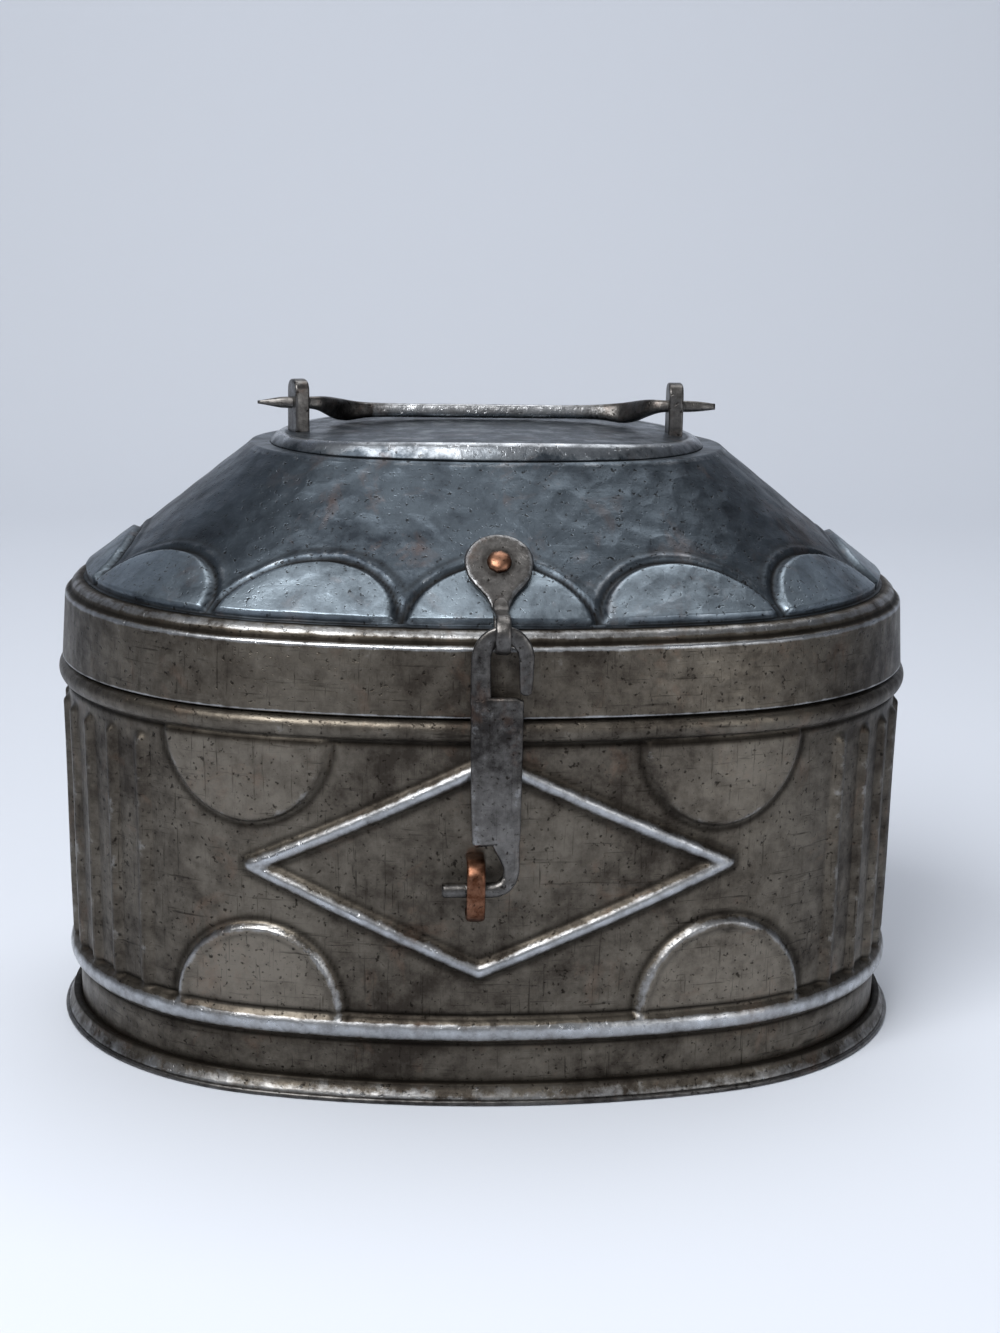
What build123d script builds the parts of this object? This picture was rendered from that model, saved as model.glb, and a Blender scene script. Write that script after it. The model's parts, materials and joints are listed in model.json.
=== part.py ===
from build123d import *
import os
from math import asin, atan2, copysign, cos, degrees, radians, sin

# Hinged copper box with an oval plan: a drum body with a plain foot, a lid with a
# scalloped hood, a bail on two ears, and a hasp that drops over a staple.
# Units are millimetres. X runs along the length, the front faces -Y, Z is up, and
# the origin is on the ground under the middle of the box.

# Plan of the box: an oval of four arcs, hammered out in narrow flat facets.
# The two side arcs turn this far each way from the middle.
SIDE_TURN = 16.0
SIDE_FACETS = 8
END_FACETS = 24
WALL_HALF_LENGTH = 122.6
WALL_HALF_WIDTH = 86.2
WALL_FLARE = 1.8
SHEET = 1.2

# Heights on the body
PAN_UNDERSIDE = 0.6
PAN_THICKNESS = 1.4
FOOT_HEIGHT = 5.6
FOOT_REACH = 4.9
HEM_HEIGHT = 1.6
HEM_SLOPE = 0.9
LOW_BEAD_BASE = 17.0
HIGH_BEAD_BASE = 102.0
LOW_BEAD_HEIGHT = 7.0
HIGH_BEAD_HEIGHT = 6.4
BEAD_REACH = 2.7
BEAD_CREST_SHARE = 0.3
NECK_HEIGHT = 10.6
NECK_GAP = 0.9
SEAM_GAP = 0.1

# Raised work on the body wall
RIDGE_WIDTH = 4.4
RIDGE_REACH = 2.2
DIAMOND_HALF_LENGTH = 64.5
DIAMOND_HALF_HEIGHT = 29.5
DIAMOND_CENTRE_Z = 67.0
DISC_RADIUS_X = 23.0
DISC_RADIUS_Z = 25.5
DISC_SINK = 0.5
DISC_CENTRE_X = 65.0
DISC_REACH = 1.9
HALF_OVAL_FACETS = 12
FLUTE_COUNT = 11
FLUTE_PITCH = 13.2
FLUTE_WIDTH = 4.0
FLUTE_REACH = 1.9
FLUTE_END_GAP = 3.0

# Lid band and its turned-in shoulder
LID_GAP = 0.4
BAND_OVER_WALL = 1.6
BAND_HALF_LENGTH = WALL_HALF_LENGTH + BAND_OVER_WALL
BAND_HALF_WIDTH = WALL_HALF_WIDTH + BAND_OVER_WALL
BAND_HEIGHT = 18.6
BAND_DRAFT = 1.1
CREASE_RISE = 1.6
CREASE_INSET = 0.8
SHOULDER_RISE = 2.6
SHOULDER_INSET = 3.3

# Lid hood with its scallops and top plate
HOOD_STEP = 1.2
HOOD_RISE = 38.9
HOOD_TOP_HALF_LENGTH = 69.0
HOOD_TOP_HALF_WIDTH = 43.0
SCALLOP_COUNT = 12
SCALLOP_RADIUS = 25.0
SCALLOP_HEIGHT = 19.0
SCALLOP_REACH = 2.0
SCALLOP_BASE_RISE = 1.6
SCALLOP_DEPTH = 12.0
PLATE_HALF_LENGTH = 64.0
PLATE_HALF_WIDTH = 42.4
PLATE_THICKNESS = 5.0
PLATE_BEVEL = 3.6
PLATE_CROWN = 2.6

# Bail and its ears
EAR_CENTRE_X = 55.0
EAR_THICKNESS = 4.2
EAR_WIDTH = 9.5
PIVOT_ABOVE_PLATE = 6.1
EAR_ABOVE_PIVOT = 6.9
LEFT_EAR_TWIST = 17.0
TENON_WIDTH = 5.6
TENON_THICKNESS = 3.0
CLENCH_RADIUS = 6.0
CLENCH_THICKNESS = 1.2
BAIL_PIN_RADIUS = 1.7
BAIL_REACH = 15.0
BAIL_BAR_WIDTH = 4.6
BAIL_BAR_THICKNESS = 3.6
BAIL_HALF_SPAN = 41.0
BAIL_BEND_RADIUS = 3.0
BAIL_END_PLAY = 0.5
BAIL_TIP_X = 67.0
BAIL_TAPER = 7.0
BAIL_LEFT_TIP = 0.6
BAIL_RIGHT_TIP = 1.2
BAIL_ARM_X = 47.5
RUNNING_FIT = 0.08
REST_GAP = 0.3

# Hasp plate, riveted to the hood and hooked at its lower end
HASP_PLATE_RADIUS = 9.3
HASP_PLATE_THICKNESS = 1.4
HASP_NECK_WIDTH = 7.0
HASP_HOOK_WIDTH = 4.1
HASP_WAIST = 0.85
HASP_RIVET_HEIGHT = 13.5
RIVET_HEAD_RADIUS = 3.25
RIVET_HEAD_HEIGHT = 1.9
RIVET_SHANK_RADIUS = 1.6
RIVET_HEAD_TAPER = 0.7
RIVET_SIDES = 8
EYE_INNER_RADIUS = 4.0
EYE_OUT_OF_BAND = 3.6
TIP_TURN = 50.0
TIP_LENGTH = 4.0

# Hasp strap, drawn in the XZ plane below the eye
STRAP_THICKNESS = 2.0
LOOP_HALF_WIDTH = 8.3
LOOP_CORNER = 7.4
LOOP_BAR = 4.3
LOOP_OPENING_LEFT = -2.9
LOOP_OPENING_RIGHT = 4.5
LOOP_OPENING_HEIGHT = 16.0
LOOP_GAP = 1.4
STRAP_LEFT = -8.3
STRAP_RIGHT = 5.7
STRAP_STEP_Z = -56.8
STRAP_STEP_LEFT = -7.2
STRAP_TAIL_LEFT = -2.4
STRAP_CORNER = 1.6
LOCK_PIN_Z = -69.6
LOCK_PIN_RADIUS = 2.1
LOCK_PIN_LENGTH = 13.8
LOCK_PIN_ROOT_X = -1.2

# Staple on the front wall
STAPLE_CENTRE_X = -6.1
STAPLE_WIDTH = 5.0
STAPLE_HEIGHT = 17.4
STAPLE_THICKNESS = 1.9
STAPLE_PIN_GAP = 0.9
STAPLE_CORNER = 4.5
STAPLE_PLATE_MARGIN = 4.0
STAPLE_PLATE_THICKNESS = 1.2

# Hinge at the back
HINGE_WIDTH = 42.0
KNUCKLE_COUNT = 5
KNUCKLE_RADIUS = 3.2
KNUCKLE_GAP = 0.3
HINGE_PIN_RADIUS = 1.6
HINGE_PIN_FIT = 0.05
HINGE_PIN_HEAD_RADIUS = 2.6
HINGE_PIN_HEAD_HEIGHT = 1.0
LEAF_THICKNESS = 1.2
LEAF_GAP = 0.2
BODY_LEAF_LENGTH = 20.0
LID_LEAF_LENGTH = 13.5
HINGE_RIVET_SHANK = 1.2
HINGE_RIVET_HEAD = 2.2
HINGE_RIVET_DOME = 1.1
HINGE_RIVET_COLUMNS = 3
HINGE_RIVET_PITCH = 13.0
HINGE_RIVET_EDGE = 4.5

# Heights worked out from the sizes above
WALL_BASE = PAN_UNDERSIDE + PAN_THICKNESS
HIGH_BEAD_TOP = HIGH_BEAD_BASE + HIGH_BEAD_HEIGHT
NECK_TOP = HIGH_BEAD_TOP + NECK_HEIGHT
NECK_INSET = WALL_HALF_LENGTH - (BAND_HALF_LENGTH - SHEET - NECK_GAP)
BAND_BASE = HIGH_BEAD_TOP + LID_GAP
BAND_TOP = BAND_BASE + BAND_HEIGHT
CREASE_TOP = BAND_TOP + CREASE_RISE
SHOULDER_TOP = CREASE_TOP + SHOULDER_RISE
HOOD_BASE = SHOULDER_TOP
HOOD_TOP = HOOD_BASE + HOOD_RISE
SHOULDER_OFFSET = -BAND_DRAFT - CREASE_INSET - SHOULDER_INSET
HOOD_OFFSET = SHOULDER_OFFSET - HOOD_STEP
HOOD_HALF_LENGTH = BAND_HALF_LENGTH + HOOD_OFFSET
HOOD_HALF_WIDTH = BAND_HALF_WIDTH + HOOD_OFFSET
PLATE_TOP = HOOD_TOP + PLATE_THICKNESS
PIVOT_Z = PLATE_TOP + PIVOT_ABOVE_PLATE
EAR_TOP = PIVOT_Z + EAR_ABOVE_PIVOT
EYE_Y = -(BAND_HALF_WIDTH + EYE_OUT_OF_BAND)
HINGE_Y = WALL_HALF_WIDTH + BEAD_REACH + LEAF_GAP + KNUCKLE_RADIUS
HINGE_Z = HIGH_BEAD_TOP


def plan_radii(half_length, half_width):
    """Radii of the side arcs and of the end arcs of an oval."""
    sine = sin(radians(SIDE_TURN))
    cosine = cos(radians(SIDE_TURN))
    share = sine * cosine - (1 - sine) * (1 - cosine)
    side = (half_length * cosine - half_width * (1 - sine)) / share
    end = (half_width * sine - half_length * (1 - cosine)) / share
    return side, end


def plan_point(half_length, half_width, turn, z=0):
    """Point of an oval whose outward normal is turned this far from the front, towards +X."""
    side, end = plan_radii(half_length, half_width)
    direction = Vector(sin(radians(turn)), -cos(radians(turn)), 0)
    if abs(direction.X) <= sin(radians(SIDE_TURN)):
        centre = Vector(0, copysign(side - half_width, -direction.Y), z)
        return centre + direction * side
    return Vector(copysign(half_length - end, direction.X), 0, z) + direction * end


def plan_turns():
    """Directions of the corners between facets, from the left end of the front side."""
    turns = []
    for middle in (0, 180):
        turns += [middle - SIDE_TURN + 2 * SIDE_TURN * i / SIDE_FACETS for i in range(SIDE_FACETS)]
        end_turn = 180 - 2 * SIDE_TURN
        turns += [middle + SIDE_TURN + end_turn * i / END_FACETS for i in range(END_FACETS)]
    return turns


def oval(half_length, half_width, z):
    """The corners of an oval's outline at height z."""
    return [plan_point(half_length, half_width, turn, z) for turn in plan_turns()]


def faceted_solid(outlines):
    """A solid through ovals, closed with a flat face at each end and one for each facet."""
    rings = [outline + outline[:1] for outline in outlines]
    faces = [Face(Wire.make_polygon(rings[0])), Face(Wire.make_polygon(rings[-1]))]
    for low, high in zip(rings, rings[1:]):
        for i in range(len(low) - 1):
            faces.append(Face(Wire.make_polygon([low[i], low[i + 1], high[i + 1], high[i]])))
    return Solid(Shell(faces))


def stack(half_length, half_width, profile):
    """A solid through ovals: profile gives each height and its offset outwards."""
    return faceted_solid([oval(half_length + offset, half_width + offset, z) for z, offset in profile])


def wall_line(z):
    """Offset of the flaring wall from its size at the upper bead."""
    return -WALL_FLARE * max(HIGH_BEAD_BASE - z, 0) / (HIGH_BEAD_BASE - FOOT_HEIGHT)


def wall_stack(profile):
    """A stack whose offsets are measured from the flaring wall."""
    return stack(WALL_HALF_LENGTH, WALL_HALF_WIDTH, [(z, wall_line(z) + off) for z, off in profile])


def plan_length(half_length, half_width):
    """Length round an oval."""
    side, end = plan_radii(half_length, half_width)
    return radians(4 * SIDE_TURN) * side + radians(360 - 4 * SIDE_TURN) * end


def plan_places(half_length, half_width, start, pitch, count):
    """Points and outward directions on an oval, at even steps of length.

    Start and pitch are shares of the way round, from the middle of the front.
    """
    side, end = plan_radii(half_length, half_width)
    half_side = radians(SIDE_TURN) * side
    quarter = plan_length(half_length, half_width) / 4
    places = []
    for copy in range(count):
        goal = 4 * quarter * ((start + copy * pitch) % 1)
        fold = abs((goal + quarter) % (2 * quarter) - quarter)
        if fold <= half_side:
            turn = degrees(fold / side)
        else:
            turn = SIDE_TURN + degrees((fold - half_side) / end)
        half_turns = round(goal / (2 * quarter))
        turn = 180 * half_turns + copysign(turn, goal - 2 * quarter * half_turns)
        outward = Vector(sin(radians(turn)), -cos(radians(turn)), 0)
        places.append((plan_point(half_length, half_width, turn), outward))
    return places


def plan_half_width(half_length, half_width, x):
    """Depth of an oval at a place on its side."""
    corners = [plan_point(half_length, half_width, turn) for turn in plan_turns()[:SIDE_FACETS + 1]]
    for left, right in zip(corners, corners[1:]):
        if left.X <= x <= right.X:
            return -left.Y - (right.Y - left.Y) * (x - left.X) / (right.X - left.X)
    raise ValueError("the place lies beyond the side")


def bead_profile(base, height):
    """Heights and offsets of one rolled bead on the wall."""
    crest = height * BEAD_CREST_SHARE / 2
    middle = base + height / 2
    return [(base, 0), (middle - crest, BEAD_REACH), (middle + crest, BEAD_REACH), (base + height, 0)]


# Body wall: one raised sheet with two beads, a neck and raised work
def diamond_frame():
    """The raised diamond's frame, seen from the front."""
    width = RIDGE_WIDTH
    half_l = DIAMOND_HALF_LENGTH
    half_h = DIAMOND_HALF_HEIGHT
    slant = (half_l**2 + half_h**2) ** 0.5
    out_l = half_l + width / 2 * slant / half_h
    out_h = half_h + width / 2 * slant / half_l
    in_l = half_l - width / 2 * slant / half_h
    in_h = half_h - width / 2 * slant / half_l
    outer = Polygon((-out_l, 0), (0, -out_h), (out_l, 0), (0, out_h), align=None)
    inner = Polygon((-in_l, 0), (0, -in_h), (in_l, 0), (0, in_h), align=None)
    return outer - inner


def half_oval(radius, height):
    """Half an oval standing on its flat side, in short straight facets."""
    turns = [radians(180 * i / HALF_OVAL_FACETS) for i in range(HALF_OVAL_FACETS + 1)]
    return Polygon(*[(radius * cos(turn), height * sin(turn)) for turn in turns], align=None)


def half_discs():
    """Four half discs, hanging from the upper bead and standing on the lower one."""
    low_z = LOW_BEAD_BASE + LOW_BEAD_HEIGHT - DISC_SINK - DIAMOND_CENTRE_Z
    high_z = HIGH_BEAD_BASE - DIAMOND_CENTRE_Z
    standing = half_oval(DISC_RADIUS_X, DISC_RADIUS_Z)
    hanging = mirror(standing, Plane.XZ)
    sketch = Sketch()
    for side in (-1, 1):
        sketch += Pos(side * DISC_CENTRE_X, high_z) * hanging
        sketch += Pos(side * DISC_CENTRE_X, low_z) * standing
    return sketch


def through_wall(sketch):
    """Extrude a drawing of the front through the whole depth of the box."""
    plane = Plane(origin=(0, WALL_HALF_WIDTH + FOOT_REACH, DIAMOND_CENTRE_Z), x_dir=(1, 0, 0), z_dir=(0, -1, 0))
    return extrude(plane * sketch, 2 * (WALL_HALF_WIDTH + FOOT_REACH))


def front_half(solid):
    """The part of a prism that reaches the front wall alone."""
    depth = WALL_HALF_WIDTH + FOOT_REACH
    box = Box(2 * WALL_HALF_LENGTH, depth, 2 * HIGH_BEAD_BASE, align=(Align.CENTER, Align.MAX, Align.CENTER))
    return solid & Pos(0, 0, DIAMOND_CENTRE_Z) * box


def raised_shell(reach):
    """The plain wall between the beads, grown outwards."""
    return wall_stack([(LOW_BEAD_BASE + LOW_BEAD_HEIGHT / 2, reach), (HIGH_BEAD_BASE, reach)])


def flutes():
    """Upright ribs round both ends, standing on the lower bead."""
    low = LOW_BEAD_BASE + LOW_BEAD_HEIGHT / 2
    length = HIGH_BEAD_BASE - low - FLUTE_END_GAP
    half_length = WALL_HALF_LENGTH + wall_line(low)
    half_width = WALL_HALF_WIDTH + wall_line(low)
    pitch = FLUTE_PITCH / plan_length(half_length, half_width)
    lean = degrees(atan2(WALL_FLARE, HIGH_BEAD_BASE - FOOT_HEIGHT))
    rib = Box(SHEET + FLUTE_REACH, FLUTE_WIDTH, length, align=(Align.MIN, Align.CENTER, Align.MIN))
    ribs = []
    for end in (1 / 4, 3 / 4):
        start = end - pitch * (FLUTE_COUNT - 1) / 2
        for point, outward in plan_places(half_length, half_width, start, pitch, FLUTE_COUNT):
            place = Plane(origin=point + Vector(0, 0, low), x_dir=outward, z_dir=(0, 0, 1))
            ribs.append(place * Rot(0, lean, 0) * Pos(-SHEET, 0, 0) * rib)
    return ribs


def body_wall():
    cavity = wall_stack([(WALL_BASE - SHEET, -SHEET), (HIGH_BEAD_BASE, -SHEET),
                         (HIGH_BEAD_TOP, -SHEET - NECK_INSET), (NECK_TOP + SHEET, -SHEET - NECK_INSET)])
    profile = [(WALL_BASE, 0)]
    profile += bead_profile(LOW_BEAD_BASE, LOW_BEAD_HEIGHT)
    profile += bead_profile(HIGH_BEAD_BASE, HIGH_BEAD_HEIGHT)[:-1]
    profile += [(HIGH_BEAD_TOP, -NECK_INSET), (NECK_TOP, -NECK_INSET)]
    wall = wall_stack(profile)
    ridge = raised_shell(RIDGE_REACH) & front_half(through_wall(diamond_frame()))
    discs = raised_shell(DISC_REACH) & through_wall(half_discs())
    wall = wall + [ridge, discs] + flutes()
    return wall - cavity - staple_slots() - rivet_holes(body_rivet_places(), WALL_HALF_WIDTH)


def bottom_pan():
    return wall_stack([(PAN_UNDERSIDE, 0), (WALL_BASE, 0)])


def foot_rim():
    """A flared skirt with a hemmed edge that carries the box."""
    profile = [(0, FOOT_REACH), (HEM_HEIGHT, FOOT_REACH)]
    profile += [(HEM_HEIGHT + HEM_SLOPE, FOOT_REACH - SHEET), (FOOT_HEIGHT, SHEET / 2)]
    inner = wall_stack([(-SHEET, SEAM_GAP), (FOOT_HEIGHT + SHEET, SEAM_GAP)])
    return wall_stack(profile) - inner


# Lid band and hood
def lid_band():
    """The plain band and the shoulder that turns in over it to seat the hood."""
    profile = [(BAND_BASE, 0), (BAND_TOP, -BAND_DRAFT), (CREASE_TOP, -BAND_DRAFT - CREASE_INSET)]
    profile += [(SHOULDER_TOP, SHOULDER_OFFSET)]
    cavity = [(BAND_BASE - SHEET, -SHEET), (BAND_TOP, -BAND_DRAFT - SHEET)]
    cavity += [(SHOULDER_TOP - SHEET, HOOD_OFFSET - SHEET), (SHOULDER_TOP + SHEET, HOOD_OFFSET - SHEET)]
    outer = stack(BAND_HALF_LENGTH, BAND_HALF_WIDTH, profile)
    inner = stack(BAND_HALF_LENGTH, BAND_HALF_WIDTH, cavity)
    return outer - inner - rivet_holes(lid_rivet_places(), BAND_HALF_WIDTH)


def hood_slope(base, top):
    """Run of the hood for each unit of rise."""
    return (base - top) / HOOD_RISE


def hood_stack(growth, top):
    """The hood's cone, grown square to its slope, from its base up to a height."""
    outlines = []
    for z in (HOOD_BASE, top):
        sizes = []
        for base, end in ((HOOD_HALF_LENGTH, HOOD_TOP_HALF_LENGTH), (HOOD_HALF_WIDTH, HOOD_TOP_HALF_WIDTH)):
            slope = hood_slope(base, end)
            sizes.append(base - slope * (z - HOOD_BASE) + growth * (1 + slope**2) ** 0.5)
        outlines.append(oval(sizes[0], sizes[1], z))
    return faceted_solid(outlines)


def scallop_planes():
    """Planes on the hood's slope, at even steps of length round its base."""
    planes = []
    share = 1 / SCALLOP_COUNT
    for point, outward in plan_places(HOOD_HALF_LENGTH, HOOD_HALF_WIDTH, 0, share, SCALLOP_COUNT):
        slope_l = hood_slope(HOOD_HALF_LENGTH, HOOD_TOP_HALF_LENGTH)
        slope_w = hood_slope(HOOD_HALF_WIDTH, HOOD_TOP_HALF_WIDTH)
        slope = slope_l * abs(outward.X) + slope_w * (1 - abs(outward.X))
        normal = (outward + Vector(0, 0, slope)).normalized()
        along = Vector(-outward.Y, outward.X, 0)
        planes.append(Plane(origin=point + Vector(0, 0, HOOD_BASE), x_dir=along, z_dir=normal))
    return planes


def scallops():
    """Half-round bosses round the foot of the hood."""
    drawing = Pos(0, SCALLOP_BASE_RISE) * half_oval(SCALLOP_RADIUS, SCALLOP_HEIGHT)
    grown = hood_stack(SCALLOP_REACH, HOOD_TOP)
    return [grown & extrude(plane * drawing, SCALLOP_DEPTH, both=True) for plane in scallop_planes()]


def lid_hood():
    hood = hood_stack(0, HOOD_TOP) + scallops()
    hood = hood - hood_stack(-SHEET, HOOD_TOP - SHEET)
    slots = [Pos(0, 0, HOOD_TOP) * slot for slot in ear_slots(TENON_THICKNESS, TENON_WIDTH)]
    hole = Cylinder(RIVET_SHANK_RADIUS + SEAM_GAP, 2 * SCALLOP_DEPTH)
    return hood - slots - hasp_plane() * hole


def crown_radius():
    return PLATE_HALF_LENGTH**2 / (2 * PLATE_CROWN) + PLATE_CROWN / 2


def lid_top_plate():
    plate = stack(PLATE_HALF_LENGTH, PLATE_HALF_WIDTH, [(HOOD_TOP, 0), (PLATE_TOP, -PLATE_BEVEL)])
    crown = Rot(90, 0, 0) * Cylinder(crown_radius(), 2 * PLATE_HALF_WIDTH)
    plate = plate & Pos(0, 0, PLATE_TOP - crown_radius()) * crown
    slots = [Pos(0, 0, HOOD_TOP) * slot for slot in ear_slots(EAR_THICKNESS, EAR_WIDTH)]
    return plate - slots


# Ears: upright tabs with tenons through the plate and the hood
def ear_turns():
    """Place and twist of each ear."""
    return [(-EAR_CENTRE_X, LEFT_EAR_TWIST), (EAR_CENTRE_X, 0)]


def ear_slots(thickness, width):
    """Slots for both ears, centred on the height that they are moved to."""
    slot = Box(thickness + 2 * SEAM_GAP, width + 2 * SEAM_GAP, 4 * PLATE_THICKNESS)
    return [Pos(x, 0, 0) * Rot(0, 0, twist) * slot for x, twist in ear_turns()]


def ear(x, twist):
    height = EAR_TOP - HOOD_TOP - EAR_WIDTH / 2
    tab = Box(EAR_THICKNESS, EAR_WIDTH, height, align=(Align.CENTER, Align.CENTER, Align.MIN))
    round_top = Pos(0, 0, height) * Rot(0, 90, 0) * Cylinder(EAR_WIDTH / 2, EAR_THICKNESS)
    depth = SHEET + CLENCH_THICKNESS
    tenon = Box(TENON_THICKNESS, TENON_WIDTH, depth, align=(Align.CENTER, Align.CENTER, Align.MAX))
    solid = Pos(x, 0, HOOD_TOP) * Rot(0, 0, twist) * (tab + round_top + tenon)
    hole = Rot(0, 90, 0) * Cylinder(BAIL_PIN_RADIUS + RUNNING_FIT, 4 * EAR_WIDTH)
    return solid - Pos(x, 0, PIVOT_Z) * hole


def ear_clench_plates():
    """Round plates under the hood that the ears' tenons are clenched over."""
    discs = []
    for (x, twist), slot in zip(ear_turns(), ear_slots(TENON_THICKNESS, TENON_WIDTH)):
        disc = Cylinder(CLENCH_RADIUS, CLENCH_THICKNESS, align=(Align.CENTER, Align.CENTER, Align.MAX))
        discs.append(Pos(x, 0, HOOD_TOP - SHEET) * disc - Pos(0, 0, HOOD_TOP) * slot)
    return discs


# Bail: a bar with bent arms and pins that run in the ears
def bail_handle():
    twist = radians(LEFT_EAR_TWIST)
    shoulder = EAR_CENTRE_X - EAR_THICKNESS / 2 / cos(twist) - BAIL_BAR_WIDTH / 2 * sin(twist) - BAIL_END_PLAY
    path = FilletPolyline(
        (-shoulder, 0), (-BAIL_ARM_X, 0), (-BAIL_HALF_SPAN, BAIL_REACH),
        (BAIL_HALF_SPAN, BAIL_REACH), (BAIL_ARM_X, 0), (shoulder, 0), radius=BAIL_BEND_RADIUS)
    section = Plane(origin=(-shoulder, 0, 0), x_dir=(0, 1, 0), z_dir=(1, 0, 0))
    section = section * chamfer(Rectangle(BAIL_BAR_WIDTH, BAIL_BAR_THICKNESS).vertices(), BAIL_BAR_THICKNESS / 4)
    bar = sweep(section, path=path)
    for side, tip in ((-1, BAIL_LEFT_TIP), (1, BAIL_RIGHT_TIP)):
        length = BAIL_TIP_X - BAIL_TAPER - shoulder + BAIL_END_PLAY
        base = Plane(origin=(side * (shoulder - BAIL_END_PLAY), 0, 0), z_dir=(side, 0, 0))
        bar += base * Cylinder(BAIL_PIN_RADIUS, length, align=(Align.CENTER, Align.CENTER, Align.MIN))
        end = Cone(BAIL_PIN_RADIUS, tip, BAIL_TAPER, align=(Align.CENTER, Align.CENTER, Align.MIN))
        bar += base * Pos(0, 0, length) * end
    drop = PIVOT_Z - PLATE_TOP - REST_GAP - BAIL_BAR_THICKNESS / 2
    return Pos(0, 0, PIVOT_Z) * Rot(-degrees(asin(drop / BAIL_REACH)), 0, 0) * bar


# Hasp plate: a keyhole of sheet whose tail is curled into an eye
def hasp_plane():
    """Plane of the plate's underside, centred on its rivet."""
    slope = hood_slope(HOOD_HALF_WIDTH, HOOD_TOP_HALF_WIDTH)
    normal = Vector(0, -1, slope).normalized()
    foot = Vector(0, -HOOD_HALF_WIDTH + slope * HASP_RIVET_HEIGHT, HOOD_BASE + HASP_RIVET_HEIGHT)
    return Plane(origin=foot + normal * (SCALLOP_REACH + REST_GAP), x_dir=(1, 0, 0), z_dir=normal)


def eye_centre():
    """Middle of the eye, which is curled outwards from the plate's lower end."""
    plane = hasp_plane()
    level = plane.origin + plane.z_dir * (EYE_INNER_RADIUS + HASP_PLATE_THICKNESS)
    return level - plane.y_dir * ((level.Y - EYE_Y) / plane.y_dir.Y)


def eye_profile():
    """Side view of the eye: X points away from the hood and Y up its slope."""
    thick = HASP_PLATE_THICKNESS
    middle = EYE_INNER_RADIUS + thick / 2
    turn = radians(TIP_TURN)
    far = 2 * middle
    ring = Circle(middle + thick / 2) - Circle(EYE_INNER_RADIUS)
    mouth = Polygon((0, 0), (far * cos(turn), far * sin(turn)), (0, far), (-far, far), (-far, 0), align=None)
    leave = (middle * cos(turn), middle * sin(turn))
    rise = (leave[0] + middle - thick) / sin(turn) * cos(turn)
    seat = (thick - middle, leave[1] + rise)
    tip = FilletPolyline(leave, seat, (seat[0], seat[1] + TIP_LENGTH), radius=thick)
    return ring - mouth + trace(tip, thick)


def hasp_plate():
    """A keyhole of sheet whose tail wraps under the strap's loop and back onto its own neck."""
    plane = hasp_plane()
    centre = eye_centre()
    side = HASP_PLATE_RADIUS * HASP_WAIST
    neck_low = -HASP_PLATE_RADIUS - HASP_NECK_WIDTH / 2
    eye_low = (centre - plane.origin).dot(plane.y_dir)
    neck = Polygon(
        (-side, 0), (-HASP_NECK_WIDTH / 2, -HASP_PLATE_RADIUS), (-HASP_HOOK_WIDTH / 2, neck_low),
        (-HASP_HOOK_WIDTH / 2, eye_low), (HASP_HOOK_WIDTH / 2, eye_low), (HASP_HOOK_WIDTH / 2, neck_low),
        (HASP_NECK_WIDTH / 2, -HASP_PLATE_RADIUS), (side, 0), align=None)
    outline = Circle(HASP_PLATE_RADIUS) + neck - Circle(RIVET_SHANK_RADIUS + RUNNING_FIT)
    leaf = extrude(plane * outline, HASP_PLATE_THICKNESS)
    side_view = Plane(origin=centre, x_dir=plane.z_dir, z_dir=(-1, 0, 0))
    return leaf + extrude(side_view * eye_profile(), HASP_HOOK_WIDTH / 2, both=True)


def rivet_section(radius, thickness, taper=0):
    """A length of a rivet with hammered flats, which may narrow towards its end."""
    return extrude(RegularPolygon(radius, RIVET_SIDES), thickness, taper=taper)


def hasp_rivet():
    """Rivet that the plate turns on, headed over it and clenched inside the hood."""
    grip = HASP_PLATE_THICKNESS + SEAM_GAP
    depth = SHEET + SCALLOP_REACH + REST_GAP + SEAM_GAP
    slant = degrees(atan2(RIVET_HEAD_RADIUS * (1 - RIVET_HEAD_TAPER), RIVET_HEAD_HEIGHT))
    head = Pos(0, 0, grip) * rivet_section(RIVET_HEAD_RADIUS, RIVET_HEAD_HEIGHT, slant)
    shank = Pos(0, 0, -depth) * Cylinder(RIVET_SHANK_RADIUS, grip + depth,
                                         align=(Align.CENTER, Align.CENTER, Align.MIN))
    tail = Pos(0, 0, -depth - SHEET) * rivet_section(RIVET_HEAD_RADIUS * RIVET_HEAD_TAPER, SHEET)
    return hasp_plane() * (head + shank + tail)


# Hasp strap: a flat bar with a loop at the top and a side pin at the bottom
def lock_pin_z():
    return eye_centre().Z + LOCK_PIN_Z


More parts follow.
